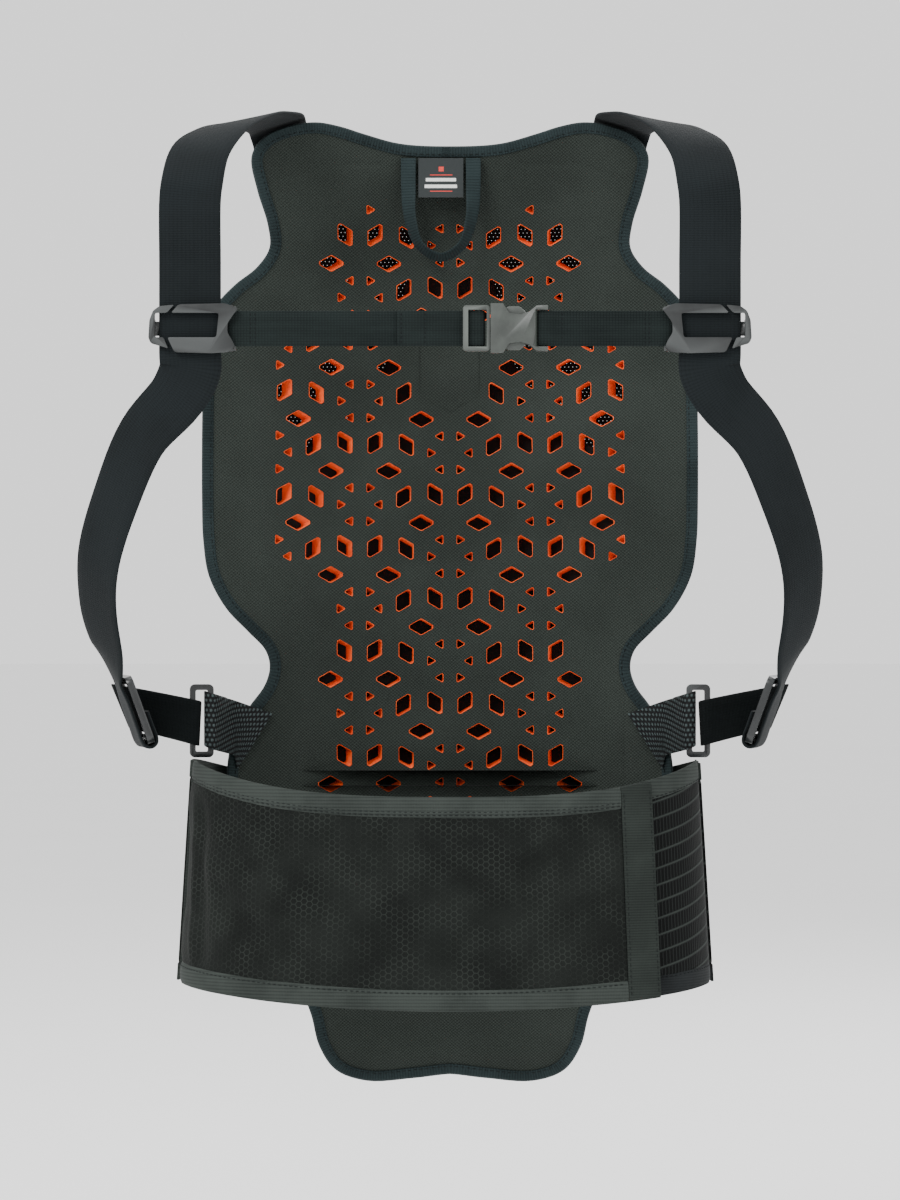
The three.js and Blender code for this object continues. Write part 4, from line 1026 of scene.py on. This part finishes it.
def dress(name, material, width=0.5, segments=2, angle=28):
    """A hard CAD piece keeps its shape and gets rounded edges and its material."""
    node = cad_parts[name]
    node.data.materials.clear()
    node.data.materials.append(material)
    weld = node.modifiers.new("weld", "WELD")
    weld.merge_threshold = 0.00001
    bevel = node.modifiers.new("bevel", "BEVEL")
    bevel.width = width * MM
    bevel.segments = segments
    bevel.limit_method = "ANGLE"
    bevel.angle_limit = math.radians(angle)
    bevel.use_clamp_overlap = True
    bevel.harden_normals = True
    node.data.shade_smooth()


for side in ("left", "right"):
    dress(f"chest_slider_{side}", GLOSS, 0.7, 3)
    dress(f"strap_end_ring_{side}", RING_GLOSS, 1.1, 3)
    dress(f"side_ring_{side}", RING_GLOSS, 0.9, 3)
dress("buckle_housing", SATIN, 0.7, 3)
dress("buckle_insert", SATIN, 0.5, 3)
dress("buckle_prong_upper", SATIN, 0.6, 3)
dress("buckle_prong_lower", SATIN, 0.6, 3)
STIFF = plastic_material("stiffener_plate", (3, 4, 4), (8, 9, 9), 0.65, 0.8, specular=0.15)
dress("spine_stiffener", STIFF, 0.2, 1, 60)

# ------------------------------------------------------------------ kidney belt

FRONT_HALF = [(153.5, BELT_HINGE_Y - 0.4), (151, -102), (139, -125), (115, -142), (85, -152), (45, -158)]
FRONT = [np.array([-x, y], float) for x, y in FRONT_HALF] + [np.array([0.0, -160.0])]
FRONT += [np.array(p, float) for p in reversed(FRONT_HALF)]



def flare(x, z):
    return x * (1 - 0.0004 * (z + 100))


def front_at(x):
    low, high = 0.0, 1.0
    for _ in range(40):
        middle = (low + high) / 2
        if catmull(FRONT, middle)[0] < x:
            low = middle
        else:
            high = middle
    return low


def arc_lengths():
    at, _ = curve(FRONT, 400)
    return np.concatenate([[0], np.cumsum(np.linalg.norm(np.diff(at, axis=0), axis=1))])


ARC = arc_lengths()


def creases_left(s, z):
    """Soft folds of the left wing: long slanted pulls, and waves from the waist's squeeze."""
    push = 0.0
    for s0, z0, s1, z1, width, depth in FOLDS:
        ax, az, bx, bz = s - s0, z - z0, s1 - s0, z1 - z0
        length2 = bx * bx + bz * bz
        t = (ax * bx + az * bz) / length2
        off = (ax * bz - az * bx) / math.sqrt(length2)
        ends = math.exp(-max(0, -t, t - 1) ** 2 * length2 / 160)
        push += depth * ends * math.exp(-(off / (1.25 * width)) ** 2)
    push += 1.1 * noise.noise(Vector((s * 0.017, z * 0.026, 4.2)))
    push += 0.35 * noise.noise(Vector((s * 0.06, z * 0.05, 9.1)))
    return push


# each fold: start and end on the wing as (mm round the front, height), half width, depth (inwards positive)
FOLDS = [
    (88, -72, 128, -108, 5.5, 1.9), (80, -66, 120, -100, 6, -1.2), (128, -110, 152, -136, 6, 0.8),
    (60, -104, 104, -138, 5, 1.7), (54, -97, 96, -130, 5, -1.1), (70, -124, 100, -148, 4, 0.7),
    (150, -78, 196, -100, 6, 0.8), (176, -74, 236, -106, 6, -0.7), (214, -98, 262, -84, 7, 0.9),
    (244, -92, 206, -132, 6, 0.8), (262, -106, 224, -146, 6, -0.7), (170, -128, 214, -148, 6, 0.7),
    (38, -66, 44, -146, 4.5, 0.9), (28, -62, 33, -150, 3.5, -0.5),
]


def wing(t0, t1, inset, thick, z_low, z_high, steps, rows, folds=None, soft=0.35, puff=0.0, taper=8):
    """Part of the belt's front as a closed cloth body, with UVs as (mm round the front, height)."""
    rings, vs = [], []
    for i in range(steps + 1):
        t = t0 + (t1 - t0) * i / steps
        at = catmull(FRONT, t)
        ahead = catmull(FRONT, min(t + 1e-4, 1)) - catmull(FRONT, max(t - 1e-4, 0))
        ahead /= np.linalg.norm(ahead)
        normal = np.array([-ahead[1], ahead[0]])
        s = float(np.interp(t, np.linspace(0, 1, 401), ARC))
        low, high = z_low(at[0]), z_high(at[0])
        ring = []
        for layer in (0, 1):
            for j in range(rows + 1):
                f = j / rows if layer == 0 else 1 - j / rows
                z = low + (high - low) * f
                edge_mm = min(f, 1 - f) * (high - low)
                if edge_mm < 1e-6:
                    depth = inset + thick * (0.3 if layer == 0 else 0.7)
                else:
                    depth = inset + (soft * 0.2 if layer == 0 else thick - soft * 0.2)
                    if puff and layer == 0:
                        depth -= puff * math.sin(math.pi * f)
                if folds:
                    side = min(i, steps - i) * (ARC[-1] * (t1 - t0) / steps)
                    fade = min(1, edge_mm / taper) * min(1, side / 6)
                    depth += max(-3.6, min(3.0, 2.7 * folds(s, z))) * fade
                p = at + normal * depth
                ring.append((flare(p[0], z), p[1], z))
        rings.append(ring)
        vs.append(s)
    k = 2 * (rows + 1)
    us = [0.0] * k
    verts, faces, _ = tube(rings, us, vs)
    uv = [(vs[i], rings[i][j][2]) for i in range(len(rings)) for j in range(k)]
    return verts, faces, uv


def band(t0, t1, inset, thick, z_low, z_high, steps, name, cloth, body, slot_name, node=None, rows=5, puff=0.25):
    verts, faces, uv = wing(t0, t1, inset, thick, z_low, z_high, steps, rows, puff=puff)
    return piece(name, verts, faces, cloth, body, node or (), uv, sharp=50)


piping_end = 0.012
left_range = (piping_end + 0.001, front_at(END_BAND_X - 0.3))
end_range = (front_at(END_BAND_X), front_at(WING_END_X))
right_range = (front_at(58), 1.0)
B = BELT_EDGE_BAND

verts, faces, uv = wing(*left_range, 0.7, 1.7, lambda x: belt_bottom(x) + B - 1.5, lambda x: belt_top(x) - B + 1.5, 130, 52,
                        folds=creases_left)
wing_cloth = piece("wing_left_cloth", verts, faces, HONEYCOMB, "belt_left", "wing_left_panel", uv, sharp=60)
trim = [
    band(*left_range, 0, 3, lambda x: belt_top(x) - B, belt_top, 100, "wing_left_top_tape", BELT_TAPE, "belt_left", "belt_tape",
         "wing_left_top_binding"),
    band(*left_range, 0, 3, belt_bottom, lambda x: belt_bottom(x) + B, 100, "wing_left_bottom_tape", BELT_TAPE, "belt_left",
         "belt_tape", "wing_left_bottom_binding"),
    band(*end_range, 0, 3, belt_bottom, belt_top, 10, "wing_left_end_tape", END_TAPE, "belt_left", "belt_tape",
         "wing_left_end_band", rows=40, puff=0.15)]
for k, (t0, t1) in enumerate(((0, 0.0052), (0.0062, piping_end))):
    band(t0, t1, -0.3, 3.4, belt_bottom, belt_top, 4, f"wing_left_piping_{k + 1}", BELT_TAPE, "belt_left", "belt_tape",
         "wing_left_piping" if k == 0 else None, rows=40, puff=0.0)
band(front_at(100), front_at(116), 3.3, 0.9, lambda x: belt_bottom(x) + 16, lambda x: belt_top(x) - 16, 6, "hooks", PILE,
     "belt_left", "hook_and_loop", "hook_patch", rows=20, puff=0)

verts, faces, uv = wing(*right_range, RIGHT_WING_INSET, 2.0, lambda x: belt_bottom(x) + B - 1.5,
                        lambda x: belt_top(x) - B + 1.5, 60, 46)
lace = piece("wing_right_cloth", verts, faces, LACE, "belt_right", "wing_right_panel", uv, sharp=60)
trim = [
    band(*right_range, RIGHT_WING_INSET, 2.2, lambda x: belt_top(x) - B, belt_top, 50, "wing_right_top_tape", BELT_TAPE,
         "belt_right", "belt_tape", "wing_right_top_binding"),
    band(*right_range, RIGHT_WING_INSET, 2.2, belt_bottom, lambda x: belt_bottom(x) + B, 50, "wing_right_bottom_tape",
         DARK_TAPE, "belt_right", "belt_tape", "wing_right_bottom_binding")]
band(front_at(62), front_at(116), 4.5, 0.8, lambda x: belt_bottom(x) + 16, lambda x: belt_top(x) - 16, 14, "loops", PILE,
     "belt_right", "hook_and_loop", "loop_patch", rows=20, puff=0)

belt_thread = Thread()


def wing_stitch(thread_, t0, t1, inset, height, steps=80):
    points, normals = [], []
    for t in np.linspace(t0, t1, steps):
        at = catmull(FRONT, t)
        ahead = catmull(FRONT, min(t + 1e-4, 1)) - catmull(FRONT, max(t - 1e-4, 0))
        ahead /= np.linalg.norm(ahead)
        normal = np.array([-ahead[1], ahead[0]])
        p = at + normal * inset
        z = height(at[0])
        points.append((flare(p[0], z), p[1], z))
        normals.append((-normal[0], -normal[1], 0))
    thread_.line(points, normals, pitch=3.2, length=2.3, radius=0.22)


for offset in (1.6, 3.4):
    wing_stitch(belt_thread, *left_range, -0.12, lambda x: belt_top(x) - B + offset)
wing_stitch(belt_thread, *left_range, -0.12, lambda x: belt_bottom(x) + B - 1.8)
for edge_t in (end_range[0] + 0.004, end_range[1] - 0.004):
    at = catmull(FRONT, edge_t)
    ahead = catmull(FRONT, edge_t + 1e-4) - catmull(FRONT, edge_t - 1e-4)
    normal = np.array([-ahead[1], ahead[0]]) / np.linalg.norm(ahead)
    p = at - normal * 0.12
    zs = np.linspace(belt_bottom(at[0]) + 3, belt_top(at[0]) - 3, 40)
    belt_thread.line([(flare(p[0], z), p[1], z) for z in zs], [(-normal[0], -normal[1], 0)] * 40, pitch=3.2, radius=0.22)
belt_thread.done("belt_left_thread", THREAD, "belt_left")
right_thread = Thread()
wing_stitch(right_thread, *right_range, RIGHT_WING_INSET - 0.12, lambda x: belt_top(x) - B + 1.8, 40)
wing_stitch(right_thread, *right_range, RIGHT_WING_INSET - 0.12, lambda x: belt_bottom(x) + B - 1.8, 40)
right_thread.done("belt_right_thread", DARK_THREAD, "belt_right")


def belt_side(hinge_x):
    """The belt's side between its back section and the wing, leaning with the panel at first."""
    start = (BELT_BACK_HALF + 0.3, float(-wrap(BELT_BACK_HALF)) + BELT_BACK[0])
    plan, travel = curve([start, (136, -15.5), (146.5, -33), (hinge_x - 0.8, -60), (hinge_x, BELT_HINGE_Y + 0.4)], 36)
    s = np.concatenate([[0], np.cumsum(np.linalg.norm(np.diff(plan, axis=0), axis=1))])
    rows = 40

    def rings_between(low_of, high_of, thick, puff):
        rings, uvs = [], []
        for i, (p, t) in enumerate(zip(plan, travel)):
            f = i / (len(plan) - 1)
            g = min(max((f - 0.1) / 0.8, 0), 1)
            follow = 1 - g * g * (3 - 2 * g)
            ring, uv_ring = [], []
            for layer in (0, 1):
                for j in range(rows + 1):
                    h_ = j / rows if layer == 0 else 1 - j / rows
                    z = low_of(p[0]) + (high_of(p[0]) - low_of(p[0])) * h_
                    at_edge = h_ in (0, 1)
                    depth = (0.3 if at_edge else 0.0 - puff * math.sin(math.pi * h_)) if layer == 0 else (
                        thick * 0.7 if at_edge else thick)
                    x_ = p[0] - t[1] * depth
                    spread = flare(x_, z) * (1 - follow) + x_ * follow
                    ring.append((spread, p[1] + t[0] * depth + float(spine_y(z)) * follow, z))
                    uv_ring.append((s[i], z))
            rings.append(ring)
            uvs.append(uv_ring)
        verts, faces, _ = tube(rings, [0] * (2 * rows + 2), list(s))
        return verts, faces, [uv for ring in uvs for uv in ring]
    return rings_between, float(s[-1])


for side, mirror, hinge_x, cloth, slot_name, low_tape in (
        ("left", -1, 153.5, HONEYCOMB, "belt_mesh", BELT_TAPE), ("right", 1, 148, LACE, "rib_elastic", DARK_TAPE)):
    make, length = belt_side(hinge_x)
    made = []
    for part, low_of, high_of, thick, puff, skin in (
            ("cloth", lambda x: belt_bottom(x) + 9.5, lambda x: belt_top(x) - 9.5, 1.4, 0.0, cloth),
            ("top_tape", lambda x: belt_top(x) - 10, belt_top, 1.7, 0.15, BELT_TAPE),
            ("bottom_tape", belt_bottom, lambda x: belt_bottom(x) + 10, 1.7, 0.15, low_tape)):
        verts, faces, uv = make(low_of, high_of, thick, puff)
        made.append(piece(f"belt_side_{side}_{part}", flip(verts, mirror), faces, skin, "back_panel",
                          f"belt_side_{side}" if part == "cloth" else (), uv, sharp=60))

# ------------------------------------------------------------------ neck

NECK_Z = 325.6
NECK_Y = 6.78 - 2.2
hanger_stations = [
    ((-25, NECK_Y, NECK_Z), (0, -1, 0)), ((-25, NECK_Y, 308), (-0.2, -0.98, 0)), ((-24, NECK_Y, 290), (-0.6, -0.8, -0.1)),
    ((-18, NECK_Y, 273), (-0.65, -0.55, -0.5)), ((-5.5, NECK_Y, 266), (0, -0.5, -0.87)), ((7, NECK_Y, 273), (0.65, -0.55, -0.5)),
    ((13, NECK_Y, 290), (0.6, -0.8, -0.1)), ((14, NECK_Y, 308), (0.2, -0.98, 0)), ((14, NECK_Y, NECK_Z), (0, -1, 0))]
(verts, faces, uv), *_rest, along = ribbon(hanger_stations, 9, 1, 80, 0.0)
piece("hanger_tape", verts, faces, BINDING_TAPE, "hanger", "hanger_loop", uv)


def label_material():
    """Dark satin label with plain generic bars in place of print."""
    s = Shade("label_satin", roughness=0.55, sheen=0.3)
    u, v = s.uv()
    weave = s.woven(u, v, 0.7, 0.7)

    def bar(u0, u1, v0, v1):
        across_ = s.math("MULTIPLY", s.math("GREATER_THAN", u, u0), s.math("LESS_THAN", u, u1))
        up = s.math("MULTIPLY", s.math("GREATER_THAN", v, v0), s.math("LESS_THAN", v, v1))
        return s.math("MULTIPLY", across_, up)

    red = s.math("ADD", bar(-6.8, -3.8, 317.6, 320.4), s.math("ADD", bar(-12, 1.4, 315.2, 315.7), bar(-12, 1.4, 305.4, 305.9)))
    white = s.math("ADD", bar(-14.5, 3.6, 311.6, 313.6), bar(-15.2, 4.2, 307.6, 309.6))
    # painted shade: the weave's dips are painted darker than its threads
    base = s.mix(weave, (7, 14, 15), (18, 29, 30))
    base = s.mix(red, base, (196, 52, 40))
    s.colour(s.mix(white, base, (214, 216, 212)))
    s.bump(weave, 0.06, 0.6)
    return s.mat


label_rings, label_rows = [], np.linspace(302, NECK_Z, 14)
for z in label_rows:
    curl = 0.5 * ((NECK_Z - z) / 23.6) ** 2
    section = [(x, NECK_Y - 0.35 - curl * (1 - ((x + 5.5) / 15) ** 2), z) for x in np.linspace(-19, 8, 10)]
    section += [(x, y + 0.55, z) for x, y, z in reversed(section)]
    label_rings.append(section)
verts, faces, _ = tube(label_rings, [0] * 20, list(label_rows))
label = piece("label", verts, faces, label_material(), "label", "size_label", flat_uv(verts))


# ------------------------------------------------------------------ floor, light and camera

FLOOR_Z = -0.42


def stage_material(name, colour, roughness):
    s = Shade(name, roughness=roughness, specular=0.2)
    s.colour(s.mix(s.noise(400, 2), colour, tuple(c + 3 for c in colour)))
    return s.mat


def pale_floor():
    """A wide plain floor under the object, with nothing standing on it that could hide a view."""
    mesh = bpy.data.meshes.new("floor")
    mesh.from_pydata([(-30, -30, FLOOR_Z), (30, -30, FLOOR_Z), (30, 30, FLOOR_Z), (-30, 30, FLOOR_Z)], [], [(0, 1, 2, 3)])
    obj = bpy.data.objects.new("floor", mesh)
    bpy.context.collection.objects.link(obj)
    mesh.materials.append(stage_material("floor_paper", (246, 246, 246), 0.9))


def area_light(name, place, target, size, power):
    light = bpy.data.lights.new(name, "AREA")
    light.shape = "RECTANGLE"
    light.size, light.size_y = size
    light.energy = power
    obj = bpy.data.objects.new(name, light)
    obj.location = place
    obj.rotation_euler = (Vector(target) - Vector(place)).to_track_quat("-Z", "Y").to_euler()
    bpy.context.collection.objects.link(obj)


pale_floor()
area_light("key", (-1.5, -2.0, 1.9), (0, 0, 0.05), (1.3, 1.3), 74)
area_light("fill", (1.9, -1.9, 0.7), (0, 0, 0.05), (1.2, 1.8), 14)
area_light("top", (0, -0.2, 2.2), (0, 0, 0), (2.0, 1.2), 17)
area_light("rear", (1.4, 2.1, 1.7), (0, 0, 0.05), (1.3, 1.3), 40)
world = bpy.data.worlds.new("studio")
bpy.context.scene.world = world
world.use_nodes = True
world.node_tree.nodes["Background"].inputs["Color"].default_value = (1, 1, 1, 1)
world.node_tree.nodes["Background"].inputs["Strength"].default_value = 1.35

camera = bpy.data.objects.new("camera", bpy.data.cameras.new("camera"))
bpy.context.collection.objects.link(camera)
camera.location = (0, -2.6, 0.060)
camera.rotation_euler = (math.radians(90), 0, 0)
camera.data.lens = 130
camera.data.sensor_width = 36
camera.data.clip_end = 50
bpy.context.scene.camera = camera
